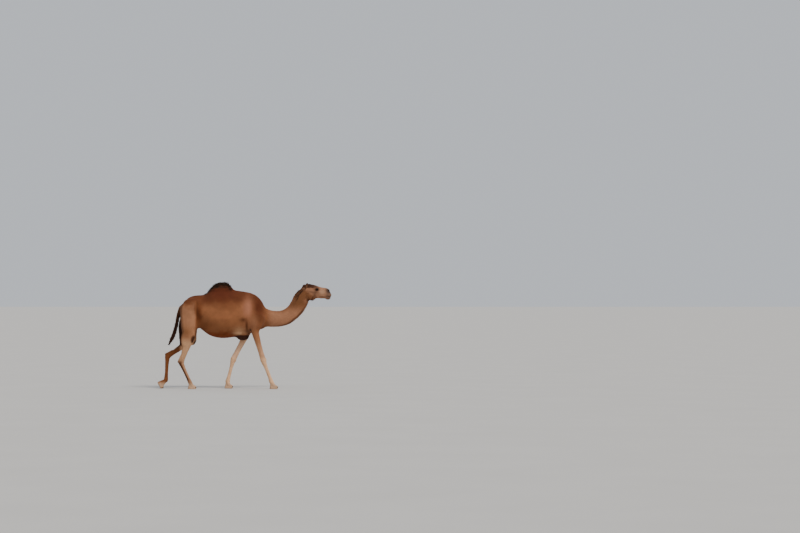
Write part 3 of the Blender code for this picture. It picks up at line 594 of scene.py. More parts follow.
def leg_layers(p, n, m):
    x, y, z = p.T
    left = y > 0
    fore = x > -0.8
    arms = np.where(left, step(z, 1.04, 0.88), step(z, 1.00, 0.66))
    # painted shade on the far (left) hind shank, which stands in the body's shadow
    far_shank_shade = step(z, 0.90, 0.75) * step(x, -1.20, -1.27) * left * step(z, 0.08, 0.16)
    # painted shade on the rear-facing side of the near (right) hind shank
    near_shank_shade = step(-n[:, 0], -0.45, 0.25) * ~left * step(z, 0.56, 0.48) * step(z, 0.10, 0.20)
    # painted shade on the insides of the thighs, strongest on the far (left) leg
    inner = step(-np.sign(y) * n[:, 1], -0.25, 0.40) * step(-n[:, 0], -0.10, 0.25)
    inner *= np.where(left, 1.0, 0.55) * step(x, -1.02, -1.10)
    return [
        ((166, 112, 76), m["fore"]),
        ((204, 154, 118), arms * fore),
        # painted light: the far (left) foreleg made paler against the shade it stands in
        ((232, 186, 150), step(z, 1.02, 0.84) * fore * left),
        ((236, 187, 144), step(z, 0.64, 0.54) * fore),
        ((182, 136, 102), step(z, 0.62, 0.50) * ~fore),
        ((166, 122, 90), 0.7 * step(z, 0.42, 0.16) * ~fore),
        # painted shade on the far (left) hind shank
        ((128, 75, 41), far_shank_shade),
        # painted shade on the rear of the near hind shank
        ((92, 54, 31), near_shank_shade * (x < -0.86)),
        ((196, 158, 126), m["feet"]),
        # painted shade on the rear-facing sides of the thighs
        ((112, 72, 46), 0.85 * m["rear"]),
        ((58, 30, 17), inner * step(z, 0.74, 0.86) * step(z, 1.42, 1.25)),  # painted shade on the insides of the thighs, deepest on the far (left) leg
    ]


def neck_layers(p, m):
    x, _, z = p.T
    return [
        ((166, 115, 84), m["neck"]),
        ((114, 71, 41), 0.9 * m["neck"] * step(z, 1.42, 1.62)),
        ((136, 86, 56), 0.9 * m["mane"]),
        ((104, 62, 38), 0.9 * m["throat"] * step(x, 0.45, 0.80)),
        ((146, 94, 64), 0.95 * m["beard"]),
        ((60, 36, 24), m["nape"] * (0.75 + 0.25 * step(noise(p, 0.05, 23), 0.3, 0.6))),
    ]


def head_layers(p, q, n, m):
    x, y, _ = p.T
    chin = lump(q, (1.60, 0.0, 1.775), (0.05, 0.1, 0.022))
    mirrored = n.copy()  # the right side's normals turned over to the left
    mirrored[y < 0, 1] *= -1
    return [
        ((163, 114, 85), m["head"]),
        *patches(q, FACE_PATCHES),
        ((120, 78, 54), m["head"] * step(n[:, 2], 0.1, 0.8) * step(x, 1.48, 1.30)),  # forehead
        ((50, 25, 15), m["head"] * step(n[:, 2], -0.1, -0.6) * step(x, 1.38, 1.32)),  # dark hair under the jaw, with painted shade beneath it
        ((106, 80, 66), 0.8 * m["muzzle"]),
        ((66, 50, 43), 1.35 * m["nose"]),
        ((104, 70, 50), m["cap"]),
        ((70, 38, 22), m["cap"] * step(x, 1.38, 1.28)),
        ((150, 112, 88), 0.7 * chin),
        ((66, 38, 22), m["crown"]),
        ((72, 39, 22), m["ear"]),
        ((106, 72, 50), 0.9 * m["ear"] * ear_opening(q, mirrored)),
        # dark skin round the eye, with painted shade of the brow and lids
        ((60, 30, 16), 1.35 * m["eye"]),
    ]


def dark_layers(p, q, n, m):
    """The hump's crest, the tail, the bare places, and painted shade in the nostrils and the mouth's
    line, which lie over the rest.
    """
    x, _, z = p.T
    along, across, near = nostril_measures(q, n)
    nostril_shade = slit_mask(along, across, NOSTRIL_LENGTH, 1.2 * NOSTRIL_WIDTH) * near
    mouth = band(z - height_on(MOUTH, x), 0.0035) * step(x, 1.40, 1.43) * m["head"]
    return [
        ((44, 27, 16), 1.1 * m["crest"]),
        ((80, 46, 24), m["tail"]),
        ((58, 30, 16), m["tail"] * step(z, 1.45, 1.20)),
        ((112, 84, 66), m["sole"]),
        ((60, 30, 16), m["callus"]),
        ((72, 35, 13), 1.3 * m["callus"] * (x < LEGS_PART)),
        # painted shade deep in the nostrils
        ((22, 13, 11), 1.4 * nostril_shade),
        # painted shade in the groove of the mouth's line
        ((60, 36, 28), mouth),
    ]


def markings(p, n, m):
    """The coat's colour at each place, linear: layers laid one over another, some of them painted light
    and shade.
    """
    q = both_sides(p)
    colour = np.tile(tone(148, 94, 60), (len(p), 1))
    layers = trunk_layers(p, q) + leg_layers(p, n, m) + neck_layers(p, m)
    layers += head_layers(p, q, n, m) + dark_layers(p, q, n, m)
    for rgb, amount in layers:
        colour = colour + (tone(*rgb) - colour) * np.clip(amount, 0, 1)[:, None]
    light = 0.86 + 0.22 * noise(p, 0.07, 24) + 0.10 * noise(p, 0.018, 25)
    return np.clip(colour * light[:, None], 0.002, 0.95)


# ---- The skin's own form ----
def refine(bm, chosen):
    """Splits the chosen faces into four; chosen is a function of face centres as an array."""
    keep = chosen(np.array([face.calc_center_median() for face in bm.faces]))
    edges = {edge for face, yes in zip(bm.faces, keep) if yes for edge in face.edges}
    bmesh.ops.subdivide_edges(bm, edges=list(edges), cuts=1, use_grid_fill=True)


def at_muzzle(co):
    p = own_measures(co)
    front = (p[:, 0] > 1.535) & (p[:, 2] > 1.6)
    mouth = (p[:, 0] > 1.395) & (np.abs(p[:, 2] - height_on(MOUTH, p[:, 0])) < 0.016)
    return front | mouth


def nostril_push(q, n):
    """A deep slit in a low rim."""
    along, across, near = nostril_measures(q, n)
    inside = slit_mask(along, across, NOSTRIL_LENGTH, NOSTRIL_WIDTH) * near
    rim = slit_mask(along, across, 1.15 * NOSTRIL_LENGTH, 0.010) * near
    return 0.0035 * rim - (NOSTRIL_DEPTH + 0.0035) * inside


def mouth_push(x, z):
    """The mouth's line between a full upper lip and a thinner lower one."""
    gap = z - height_on(MOUTH, x)
    lips = 0.0022 * band(gap - 0.009, 0.006) + 0.0012 * band(gap + 0.009, 0.006)
    return (lips - 0.0065 * band(gap, 0.0026)) * step(x, 1.402, 1.425) * (z > 1.6)


def upper_lip_push(q, x, y, z):
    """The groove from each nostril, the fullness under it and the split between the sides."""
    a, b = np.array(GROOVE)
    reach = np.clip((q - a) @ (b - a) / ((b - a) @ (b - a)), 0, 1)
    away = np.linalg.norm(q - a - reach[:, None] * (b - a), axis=1)
    fullness = lump(q, (1.612, 0.022, 1.800), (0.030, 0.018, 0.032))
    split = step(x, 1.59, 1.61) * step(z, 1.752, 1.760) * step(z, 1.848, 1.832)
    return 0.0020 * fullness - 0.0028 * band(away, 0.0032) - 0.0055 * band(y, 0.0024) * split


def carve(mesh):
    """Nostrils, mouth, split lip, and the crease in front of the thighs."""
    co, n = get_co(mesh), get_normals(mesh)
    p = own_measures(co)
    x, y, z = p.T
    q = both_sides(p)
    muzzle = step(x, 1.50, 1.60) * (z > 1.6)
    slimmer = 0.20 * band(z - 1.752, 0.020) + 0.16 * step(z, 1.868, 1.905)
    co[:, 1] *= 1 - muzzle * slimmer
    crease = band(x + 0.900, 0.020) * step(z, 1.15, 1.28) * step(z, 1.74, 1.62)
    push = nostril_push(q, n) + mouth_push(x, z) + upper_lip_push(q, x, y, z)
    push -= 0.008 * crease * step(np.abs(n[:, 1]), 0.3, 0.7)
    set_co(mesh, co + n * push[:, None])


def sink(mesh):
    """Moves the skin inside the solids by the depth of its coat, and thins the tail's core."""
    co, n = get_co(mesh), get_normals(mesh)
    p = own_measures(co)
    m = masks(p, n)
    co = co - n * coat_depth(p, m)[:, None]
    near = follow(p, "tail")
    middle = near["place"] + np.array([SHIFT, 0, 0])
    thin = m["tail"] * step(near["share"], 0.05, 0.45) * 0.06
    set_co(mesh, co + (middle - co) * thin[:, None])


# ---- Eyelids ----
EYE_RADIUS = 0.0215
EYE_GAP = 0.0030  # from the eyeball to the lids
EYE_OUT = (0.24, 0.965, 0.10)  # way that the left eye looks
NEAR_EYE = 0.06
WINDOW = 0.032  # radius of the round window that the lids fill
LID_RINGS = 13
OPENING = (0.0205, 0.0138, 0.0105)  # half width, height above and below the middle
CORNERS = 1.28  # over 1 draws the opening's corners to points
LID_TILT = 0.26
# Folds of the lids: height, place from window to opening, width, share of upper and lower lid.
FOLDS = ((-0.0022, 0.66, 0.07, 1, 0), (0.0010, 0.84, 0.08, 1, 0))
FOLDS += ((-0.0016, 0.60, 0.07, 0, 1), (0.0012, 0.46, 0.08, 1, 1))
# Rings that tuck the lids' edges in behind the eyeball's front: scale and radius.
TUCKS = ((0.95, EYE_RADIUS + 0.0016), (0.95, EYE_RADIUS + 0.0002), (1.15, EYE_RADIUS - 0.003))


def eye_frame(side):
    """An eye's middle, and unit directions ahead, up and out of the socket."""
    low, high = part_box("eye_" + side)
    x, y, z = EYE_OUT
    out = Vector((x, SIDES[side] * y, z)).normalized()
    up = (Vector((0, 0, 1)) - out * out.z).normalized()
    return (Vector(low) + Vector(high)) / 2, up.cross(out) * -SIDES[side], up, out


def open_window(bm, centre, out):
    """Takes away the faces over an eye and gives the window's rim as a loop of vertices."""
    gone = []
    for face in bm.faces:
        off = face.calc_center_median() - centre
        aside = off - out * off.dot(out)
        if off.length < NEAR_EYE and off.dot(out) > 0 and aside.length < WINDOW:
            gone.append(face)
    bmesh.ops.delete(bm, geom=gone, context="FACES")
    rims = (edge for edge in bm.edges if edge.is_boundary)
    edge = next(edge for edge in rims if (edge.verts[0].co - centre).length < NEAR_EYE)
    loop = [edge.verts[0]]
    while True:
        vert = edge.other_vert(loop[-1])
        if vert is loop[0]:
            return loop
        loop.append(vert)
        edge = next(e for e in vert.link_edges if e.is_boundary and e is not edge)


def over_eyeball(flat, radius):
    """Rows of two made rows of three, on a ball of this radius."""
    return np.column_stack([flat, np.sqrt(np.maximum(radius**2 - (flat**2).sum(axis=1), 1e-6))])


def almond(turn):
    """The outline of the eye's opening, at these turns round its middle."""
    c, s = np.cos(turn), np.sin(turn)
    wide = OPENING[0] * np.sign(c) * np.abs(c) ** CORNERS
    tall = np.where(s > 0, OPENING[1], OPENING[2]) * np.sign(s) * np.abs(s) ** CORNERS
    ahead = wide * math.cos(LID_TILT) + tall * math.sin(LID_TILT) + 0.002
    return np.column_stack([ahead, tall * math.cos(LID_TILT) - wide * math.sin(LID_TILT)])


def lid_rings(local, opening, turn):
    """Rings of places from the window's rim to the opening, clear of the eyeball, and folded."""
    share = np.linspace(0, 1, LID_RINGS + 1)[:, None, None]
    clear = EYE_RADIUS + EYE_GAP
    grid = local * (1 - share) + over_eyeball(opening, clear) * share
    for _ in range(60):
        inner = grid[1:-1]
        sides = np.roll(inner, 1, axis=1) + np.roll(inner, -1, axis=1)
        inner = inner + 0.6 * ((grid[:-2] + grid[2:] + sides) / 4 - inner)
        grid[1:-1] = inner * np.maximum(clear / np.linalg.norm(inner, axis=2), 1)[:, :, None]
    upper = np.clip(np.sin(turn), 0, 1) ** 0.5
    lower = np.clip(-np.sin(turn), 0, 1) ** 0.5
    for k in range(1, LID_RINGS):
        fold = 0
        for height, place, width, above, below in FOLDS:
            fold = fold + height * band(k / LID_RINGS - place, width) * (above * upper + below * lower)
        grid[k] += unit(grid[k]) * fold[:, None]
    return grid


def lids(bm, side):
    """Opens a round window over an eye and fills it with lids round an almond opening.

    Gives the rim of the lids, how high each place of it is, and the eye's directions.
    """
    centre, ahead, up, out = eye_frame(side)
    loop = open_window(bm, centre, out)
    places = np.array([vert.co for vert in loop])
    for _ in range(8):
        places = 0.5 * places + 0.25 * (np.roll(places, 1, axis=0) + np.roll(places, -1, axis=0))
    for vert, place in zip(loop, places):
        vert.co = place
    axes = np.array([ahead, up, out])
    local = (places - np.array(centre)) @ axes.T
    turn = np.unwrap(np.arctan2(local[:, 1], local[:, 0])) + LID_TILT
    if turn[-1] < turn[0]:
        loop, local, turn = loop[::-1], local[::-1], turn[::-1]
    opening = almond(turn)
    grid = lid_rings(local, opening, turn)
    rows = [loop]
    for ring in list(grid[1:]) + [over_eyeball(opening * scale, radius) for scale, radius in TUCKS]:
        rows.append([bm.verts.new(place) for place in ring @ axes + np.array(centre)])
    count = len(loop)
    for a, b in zip(rows, rows[1:]):
        for i in range(count):
            j = (i + 1) % count
            bm.faces.new((a[i], a[j], b[j], b[i]) if SIDES[side] < 0 else (a[j], a[i], b[i], b[j]))
    return grid[-1] @ axes + np.array(centre), np.sin(turn), axes


# Eyelashes: above or below, rows, length, how far they point away from the eye.
LASHES = ((1, 2, 0.023, 0.25), (-1, 1, 0.011, 0.10))
LASH_WIDTH = 0.0013


def lashes(rims):
    """Eyelashes on the rims of the lids, curling away from the eye."""
    batches = []
    for rim, height, axes in rims:
        ahead, up, out = axes
        for sign, rows, length, rise in LASHES:
            chosen = np.repeat(np.flatnonzero(height * sign > 0.12), rows)
            count = len(chosen)
            after = (chosen + 1) % len(rim)
            slide = RNG.random(count)[:, None]
            root = rim[chosen] * (1 - slide) + rim[after] * slide
            spread = (root - rim.mean(axis=0)) @ ahead
            course = unit(out + 22 * spread[:, None] * ahead + sign * rise * up)
            normal = np.tile(sign * up, (count, 1))
            normal = unit(normal - course * (normal * course).sum(axis=1)[:, None])
            shape = 0.5 + 0.5 * np.sqrt(np.abs(height[chosen]))
            lengths = length * shape * RNG.uniform(0.8, 1.15, count)
            lifts = (np.full(count, -0.40), np.full(count, 0.45))
            colour = np.tile(tone(34, 22, 17), (count, 1))
            spot = np.column_stack([0.5 + spread * 3, np.full(count, 0.6 * (sign > 0) + 0.1)])
            width = np.full(count, LASH_WIDTH)
            batches.append(tufts(root, normal, course, lengths, width, lifts, 3, colour, spot))
    return batches


def finish_skin(mesh):
    """Carves and sinks the skin and gives it lids, whose rims it hands back."""
    edit(mesh, refine, at_muzzle)
    carve(mesh)
    sink(mesh)
    rims = [edit(mesh, lids, side) for side in SIDES]
    mesh.polygons.foreach_set("use_smooth", [True] * len(mesh.polygons))
    mesh.update()
    return rims


# ---- Materials ----
def put_colours(mesh, colours):
    layer = mesh.color_attributes.new("markings", "FLOAT_COLOR", "POINT")
    full = np.ones((len(colours), 4))
    full[:, :3] = colours
    layer.data.foreach_set("color", full.ravel())


def put_bare(mesh, amount):
    """Where the skin is bare and horny, for its material."""
    layer = mesh.attributes.new("bare", "FLOAT", "POINT")
    layer.data.foreach_set("value", amount.astype(np.float32))


def new_material(name, roughness):
    made = bpy.data.materials.new(name)
    made.use_nodes = True
    tree = made.node_tree
    shader = tree.nodes["Principled BSDF"]
    shader.inputs["Roughness"].default_value = roughness
    return made, tree, shader


def add(tree, kind, values=None, **sources):
    """A new node with these input values, and with inputs joined to other nodes' outputs."""
    node = tree.nodes.new("ShaderNode" + kind)
    for name, value in (values or {}).items():
        node.inputs[name].default_value = value
    for name, output in sources.items():
        tree.links.new(output, node.inputs[name])
    return node


def attribute(tree, name):
    node = add(tree, "Attribute")
    node.attribute_name = name
    return node


def own_coordinates(tree):
    """The object's own coordinates."""
    return add(tree, "TexCoord").outputs["Object"]


def fine_noise(tree, stretch, scale):
    """A noise texture on the object's own coordinates, drawn out along chosen axes."""
    mapping = add(tree, "Mapping", {"Scale": stretch}, Vector=own_coordinates(tree))
    values = {"Scale": scale, "Detail": 3.0}
    return add(tree, "TexNoise", values, Vector=mapping.outputs["Vector"]).outputs["Fac"]


def spread_out(tree, value, limits, result=(0.0, 1.0)):
    """A value moved from one span to another."""
    names = ("From Min", "From Max", "To Min", "To Max")
    values = dict(zip(names, (*limits, *result)))
    return add(tree, "MapRange", values, Value=value).outputs["Result"]


def bump(tree, height, strength, distance, **under):
    values = {"Strength": strength, "Distance": distance}
    return add(tree, "Bump", values, Height=height, **under).outputs["Normal"]


def ramp(tree, value, *stops):
    """A colour between the stops, each a place and a linear colour."""
    node = add(tree, "ValToRGB", Fac=value)
    for element, (place, colour) in zip(node.color_ramp.elements, stops):
        element.position = place
        element.color = (*colour, 1)
    return node.outputs["Color"]


def streaks(tree):
    """Hair-fine streaks: down the legs, and along the body above them."""
    back = fine_noise(tree, (0.22, 1.0, 1.0), 170.0)
    down = fine_noise(tree, (1.0, 1.0, 0.22), 170.0)
    split = add(tree, "SeparateXYZ", Vector=own_coordinates(tree))
    on_body = spread_out(tree, split.outputs["Z"], (0.95, 1.25))
    mixed = add(tree, "Mix", Factor=on_body, A=down, B=back)
    return mixed.outputs["Result"]


def plates(tree):
    """The cracked, horny plates of the bare pads."""
    cracks = add(tree, "TexVoronoi", {"Scale": 75.0}, Vector=own_coordinates(tree))
    cracks.feature = "DISTANCE_TO_EDGE"
    raised = spread_out(tree, cracks.outputs["Distance"], (0.0, 0.20))
    horny = add(tree, "Math")
    horny.operation = "MULTIPLY"
    tree.links.new(raised, horny.inputs[0])
    tree.links.new(attribute(tree, "bare").outputs["Fac"], horny.inputs[1])
    return horny.outputs["Value"]


def fur_material(name, strength, contrast):
    """Coat colour from the markings, broken by hair-fine streaks that follow the lie."""
    made, tree, shader = new_material(name, 0.82)
    shader.inputs["Specular IOR Level"].default_value = 0.15
    shader.inputs["Sheen Weight"].default_value = 0.05
    shader.inputs["Sheen Roughness"].default_value = 0.5
    streak = streaks(tree)
    light = spread_out(tree, streak, (0.30, 0.70), (1.0 - contrast, 1.0 + contrast))
    scale = add(tree, "VectorMath")
    scale.operation = "SCALE"
    tree.links.new(attribute(tree, "markings").outputs["Color"], scale.inputs["Vector"])
    tree.links.new(light, scale.inputs["Scale"])
    tree.links.new(scale.outputs["Vector"], shader.inputs["Base Color"])
    relief = bump(tree, streak, strength, 0.003)
    rough = bump(tree, plates(tree), 0.8, 0.0025, Normal=relief)
    tree.links.new(rough, shader.inputs["Normal"])
    return made


# ---- Tufts ----
TUFT_PATCH = 0.003  # how much of the map each tuft covers


def scatter(mesh, density):
    """Even places on a mesh, with their normals, and the corners and weights they lie between.

    density is the number of places per square metre at each vertex.
    """
    mesh.calc_loop_triangles()
    corners = read(mesh.loop_triangles, "vertices", int)
    co, n = get_co(mesh), get_normals(mesh)
    a, b, c = (co[corners[:, k]] for k in range(3))
    area = np.linalg.norm(np.cross(b - a, c - a), axis=1) / 2
    expected = np.cumsum(area * density[corners].mean(axis=1))
    picks = np.arange(RNG.random(), expected[-1], 1.0)
    tri = np.searchsorted(expected, picks)
    u, v = RNG.random(len(tri)), RNG.random(len(tri))
    flip = u + v > 1
    u[flip], v[flip] = 1 - u[flip], 1 - v[flip]
    ends = corners[tri]
    weights = np.stack([1 - u - v, u, v], axis=1)
    place = (co[ends] * weights[:, :, None]).sum(axis=1)
    normal = unit((n[ends] * weights[:, :, None]).sum(axis=1))
    return place, normal, ends, weights


def tuft_faces(segments):
    """The triangles of one tuft: a base, the sides ring by ring, and the tip."""
    faces = [(0, 2, 1)]
    for k in range(segments - 1):
        for i in range(3):
            a, b = 3 * k + i, 3 * k + (i + 1) % 3
            faces += [(a, b, b + 3), (a, b + 3, a + 3)]
    last, tip = 3 * (segments - 1), 3 * segments
    return np.array(faces + [(last + i, last + (i + 1) % 3, tip) for i in range(3)])


def tufts(root, normal, course, length, width, lifts, segments, colour, spot, wave=0.0):
    """A batch of closed three-sided tufts, each drawn to a point and bent along its length."""
    count = len(root)
    side = np.cross(normal, course)
    places, shades, maps, facings = [], [], [], []
    centre = root - normal * (0.12 * width)[:, None]
    turn = RNG.uniform(0, 2 * math.pi, count)
    for k in range(segments + 1):
        f = k / segments
        lift = lifts[0] + (lifts[1] - lifts[0]) * f
        ahead = course * np.cos(lift)[:, None] + normal * np.sin(lift)[:, None]
        top = normal * np.cos(lift)[:, None] - course * np.sin(lift)[:, None]
        if k:
            centre = centre + ahead * (length / segments)[:, None]
            sway = np.sin(turn + 4.5 * f) - np.sin(turn + 4.5 * (f - 1 / segments))
            centre = centre + side * (wave * length * sway)[:, None]
        at = -TUFT_PATCH / 2 + TUFT_PATCH * f
        if k < segments:
            thick = (width / 2 * (1 - 0.55 * f**1.5))[:, None]
            low = top * thick * 0.3
            half = TUFT_PATCH / 2 * (1 - 0.6 * f)
            places += [centre + top * thick * 0.7]
            places += [centre - side * thick - low, centre + side * thick - low]
            facings += [normal, normal * 0.85 - side * 0.5, normal * 0.85 + side * 0.5]
            offsets = ((0, at + TUFT_PATCH / (3 * segments)), (-half, at), (half, at))
        else:
            places += [centre]
            facings += [normal + 0.25 * ahead]
            offsets = ((0, at),)
        # Each tuft darker at its root, painted shade deep in the coat, and paler towards its tip.
        shades += [colour * (0.92 + 0.20 * f)] * len(offsets)
        maps += [spot + np.array(offset) for offset in offsets]
    index = np.arange(count)[:, None, None] * len(places) + tuft_faces(segments)[None]
    rows = [np.stack(part, axis=1) for part in (places, shades, maps, facings)]
    return index.ravel(), *(part.reshape(-1, part.shape[2]) for part in rows)


def coat_piece(name, batches, material):
    """One object from several batches of tufts."""
    starts = np.cumsum([0] + [len(batch[1]) for batch in batches])
    index = np.concatenate([batch[0] + start for batch, start in zip(batches, starts)])
    places, shades, maps, facings = (np.concatenate(part) for part in list(zip(*batches))[1:])
    mesh = bpy.data.meshes.new(name)
    mesh.vertices.add(len(places))
    mesh.vertices.foreach_set("co", places.ravel())
    mesh.loops.add(len(index))
    mesh.loops.foreach_set("vertex_index", index)
    mesh.polygons.add(len(index) // 3)
    mesh.polygons.foreach_set("loop_start", np.arange(0, len(index), 3))
    mesh.polygons.foreach_set("use_smooth", np.ones(len(index) // 3, bool))
    mesh.update(calc_edges=True)
    layer = mesh.uv_layers.new(name="OFBake")
    layer.data.foreach_set("uv", maps[index].ravel())
    put_colours(mesh, shades)
    mesh.normals_split_custom_set_from_vertices(unit(facings))
    mesh.materials.append(material)
    obj = placed(name, mesh)
    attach(obj, "root")
    return obj


# ---- The coat ----
# The coat's pieces and the slot of each.
PIECES = {
    "trunk_right_rear": "coat_russet",
    "trunk_left_rear": "coat_russet",
    "trunk_right_front": "coat_russet",
    "trunk_left_front": "coat_russet",
    "hump": "coat_dark",
    "neck": "coat_tan",
    "head": "coat_tan",
    "forelegs": "coat_cream",
    "hindlegs": "coat_tan",
    "tail": "coat_dark",
}
PIECE_NAMES = list(PIECES)
TRUNK_SPLIT = -0.45
MAP_MARGIN = 0.02


def region_of(p, on_tail):
    """The number of the coat piece that each place belongs to, and its spot on the map."""
    found = {name: follow(p, name) for name in PATHS}
    found["tail"]["away"] *= 1 - on_tail
    nearest = np.stack([near["away"] / PATHS[name][0] for name, near in found.items()]).argmin(axis=0)
    piece = np.zeros(len(p), int)
    spot = np.zeros((len(p), 2))
    span = 1 - 2 * MAP_MARGIN
    for number, (name, near) in enumerate(found.items()):
        mine = nearest == number
        u = MAP_MARGIN + span * near["share"]
        v = 0.5 + span / 2 * near["turn"] / math.pi
        if name == "trunk":
            ahead = p[:, 0] > TRUNK_SPLIT
            piece[mine] = (2 * ahead + (p[:, 1] >= 0))[mine]
            u = np.where(ahead, (p[:, 0] - TRUNK_SPLIT) / 1.0, (TRUNK_SPLIT - p[:, 0]) / 0.95)
            v = MAP_MARGIN + span * np.abs(near["turn"]) / math.pi
        elif name in PIECES:
            piece[mine] = PIECE_NAMES.index(name)
        else:
            piece[mine] = PIECE_NAMES.index(name.split("_")[0] + "s")
            v = 0.5 * v + (0.5 if name.endswith("left") else 0)
        spot[mine, 0], spot[mine, 1] = u[mine], v[mine]
    x, y, z = p.T
    hump = (z > 1.80) & (x > -0.86) & (x < -0.12)
    piece[hump] = PIECE_NAMES.index("hump")
    spot[hump, 0] = (x[hump] + 0.88) / 0.80
    spot[hump, 1] = 0.5 + np.arctan2(y[hump], z[hump] - 1.70) / math.pi * 0.9
    return piece, np.clip(spot, 0.004, 0.996)


COVER = 0.85  # how much of the skin the tufts' own outlines would cover, side by side
BEND_LENGTHS = (0.0215, 0.040, 0.060)  # from each of these lengths a tuft has one more segment


def tuft_width(length, m):
    width = np.where(length > 0.045, 0.0020 + 0.045 * length, 0.0016 + 0.085 * length)
    return width * (1 - 0.38 * m["beard"] - 0.22 * m["crest"])


def tufts_per_area(p, m, length, width):
    """Tufts per square metre: few where bare or finely haired, many where long and thick."""
    x, _, z = p.T
    q = both_sides(p)
    many = COVER / (length * width / 2)
    many *= 1 - 0.45 * step(length, 0.012, 0.008)
    many *= 1 - 0.75 * m["callus"]
    many *= step(z, 0.012, 0.022)
    many *= step(np.linalg.norm(q - np.array(EYE_MIDDLE), axis=1), 0.029, 0.034)
    many *= 1 - 0.95 * np.clip(1.6 * lump(q, NOSTRIL, (0.020, 0.020, 0.022)), 0, 1)
    many *= 1 - band(z - height_on(MOUTH, x), 0.007) * step(x, 1.38, 1.40) * m["head"]
    many *= 1 + 2.0 * m["cuticle"]
    return many * (1 + 1.8 * m["crest"] + 9.0 * m["tail"] + 2.2 * m["beard"] + 0.8 * m["nape"])


def tuft_lifts(m, length):
    """How far each tuft rises from the skin, at its root and at its tip."""
    lift = np.radians(RNG.uniform(9, 20, len(length)))
    lift += np.radians(16) * np.maximum(m["hump"], m["nape"])
    lift += np.radians(8) * m["crest"] + np.radians(12) * m["crown"] + np.radians(14) * m["beard"]
    lift *= 1 - 0.4 * m["head"] * (1 - m["crown"]) - 0.7 * m["cuticle"]
    lift = np.where(m["tail"] > 0.5, np.radians(RNG.uniform(6, 16, len(length))), lift)
    return lift, np.where(length > 0.024, lift - np.radians(26), lift - np.radians(9))


def grow_coat(mesh, lid_rims):
    """The coat's pieces, rooted on the skin."""
    p = own_measures(get_co(mesh))
    m = masks(p, get_normals(mesh))
    length = coat_length(p, m)
    width = tuft_width(length, m)
    root, normal, ends, weights = scatter(mesh, tufts_per_area(p, m, length, width))
    p = own_measures(root)
    m = masks(p, normal)
    count = len(root)
    length = (length[ends] * weights).sum(axis=1) * RNG.uniform(0.75, 1.25, count)
    width = (width[ends] * weights).sum(axis=1) * RNG.uniform(0.8, 1.2, count)
    course = lie(p, normal, m)
    spin = RNG.normal(0, 0.16, count)[:, None]
    course = course * np.cos(spin) + np.cross(normal, course) * np.sin(spin)
    colour = markings(p, normal, m) * RNG.uniform(0.88, 1.14, (count, 1))
    piece, spot = region_of(p, m["tail"])
    lift, end_lift = tuft_lifts(m, length)
    segments = np.digitize(length, BEND_LENGTHS) + 1
    material = fur_material("coat_fur", 0.25, 0.10)
    for number, (name, slot) in enumerate(PIECES.items()):
        batches = []
        for parts in range(1, len(BEND_LENGTHS) + 2):
            mine = (piece == number) & (segments == parts)
            if not mine.any():
                continue
            rows = (values[mine] for values in (root, normal, course, length, width))
            lifts = (lift[mine], end_lift[mine])
            wave = 0.12 if parts > 2 else 0.0
            batches.append(tufts(*rows, lifts, parts, colour[mine], spot[mine], wave))
        if name == "head":
            batches += lashes(lid_rims)
        coat_piece("coat_" + name, batches, material)


# ---- Eyes and nails ----
def eye_material():
    """Dark brown, faintly mottled, with a wet surface."""
    made, tree, shader = new_material("eye_wet", 0.06)
    shader.inputs["IOR"].default_value = 1.34
    grain = fine_noise(tree, (1, 1, 1), 260.0)
    brown = ramp(tree, grain, (0.35, (0.010, 0.005, 0.003)), (0.70, (0.045, 0.020, 0.010)))
    tree.links.new(brown, shader.inputs["Base Color"])
    return made


def horn_material():
    """Worn brown horn with fine upright lines."""
    made, tree, shader = new_material("nail_horn", 0.42)
    grain = fine_noise(tree, (1, 1, 0.2), 300.0)
    brown = ramp(tree, grain, (0, (0.045, 0.030, 0.021)), (1, (0.150, 0.105, 0.078)))
    tree.links.new(brown, shader.inputs["Base Color"])
    tree.links.new(bump(tree, grain, 0.3, 0.001), shader.inputs["Normal"])
    return made


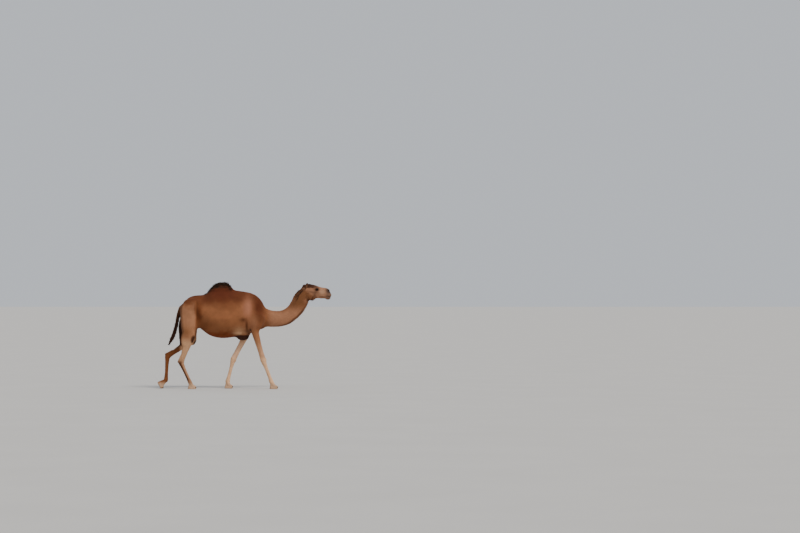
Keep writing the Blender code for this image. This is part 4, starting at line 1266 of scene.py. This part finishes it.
def dress_hard_parts():
    """The solids of the eyes and nails stay, welded, rounded and in materials of their own."""
    dress = {"eye": (eye_material(), "eye"), "nail": (horn_material(), "horn")}
    for name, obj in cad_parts.items():
        kind = name.split("_")[0]
        if kind not in dress:
            continue
        material, slot = dress[kind]
        obj.data.materials.clear()
        obj.data.materials.append(material)
        weld = obj.modifiers.new("weld", "WELD")
        weld.merge_threshold = SAME_PLACE
        round_off = obj.modifiers.new("round", "SUBSURF")
        round_off.levels = 1
        round_off.render_levels = 1
        obj.data.polygons.foreach_set("use_smooth", [True] * len(obj.data.polygons))


# ---- Studio ----
def floor():
    """A pale floor that reaches to the horizon."""
    bpy.ops.mesh.primitive_plane_add(size=600, location=(0, 150, 0))
    plane = bpy.context.object
    plane.name = "floor"
    made, tree, shader = new_material("floor_pale", 0.9)
    grain = fine_noise(tree, (1, 1, 1), 0.8)
    pale = ramp(tree, grain, (0, (0.58, 0.56, 0.53)), (1, (0.64, 0.62, 0.59)))
    tree.links.new(pale, shader.inputs["Base Color"])
    plane.data.materials.append(made)


def light():
    """A soft, pale sky and a warm lamp with soft edges, high in front and on the right."""
    world = bpy.data.worlds.new("studio")
    world.use_nodes = True
    sky = world.node_tree.nodes["Background"]
    sky.inputs["Color"].default_value = (0.80, 0.84, 0.90, 1)
    sky.inputs["Strength"].default_value = 0.75
    bpy.context.scene.world = world
    key = bpy.data.lights.new("key", "SUN")
    key.energy = 2.2
    key.angle = 0.35
    key.color = (1.0, 0.95, 0.88)
    lamp = placed("key", key)
    lamp.rotation_euler = Vector((-0.45, 0.55, -0.75)).to_track_quat("-Z", "Y").to_euler()


def camera():
    """Far off on the camel's right, a little under the height of its withers."""
    lens = bpy.data.cameras.new("camera")
    lens.lens = 100
    lens.sensor_width = 36
    lens.clip_end = 2000
    seat = placed("camera", lens)
    seat.location = (2.960, -42.2, 1.70)
    seat.rotation_euler = (math.radians(90.84), 0, 0)
    bpy.context.scene.camera = seat


# ---- Build ----
def dress_skin(skin):
    """Markings, material and place in the frame of the finished skin."""
    own = own_measures(get_co(skin.data))
    n = get_normals(skin.data)
    m = masks(own, n)
    # painted shade: the skin, deep under the coat, a little darker than the hair
    put_colours(skin.data, markings(own, n, m) * 0.88)
    put_bare(skin.data, np.clip(m["callus"] + m["sole"], 0, 1))
    skin.data.materials.append(fur_material("skin_fur", 0.8, 0.16))
    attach(skin, "root")
    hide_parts(*FLESH)


skin_mesh = joined_skin()
lid_rims = finish_skin(skin_mesh)
dress_skin(placed("skin", skin_mesh))
grow_coat(skin_mesh, lid_rims)
dress_hard_parts()
floor()
light()
camera()
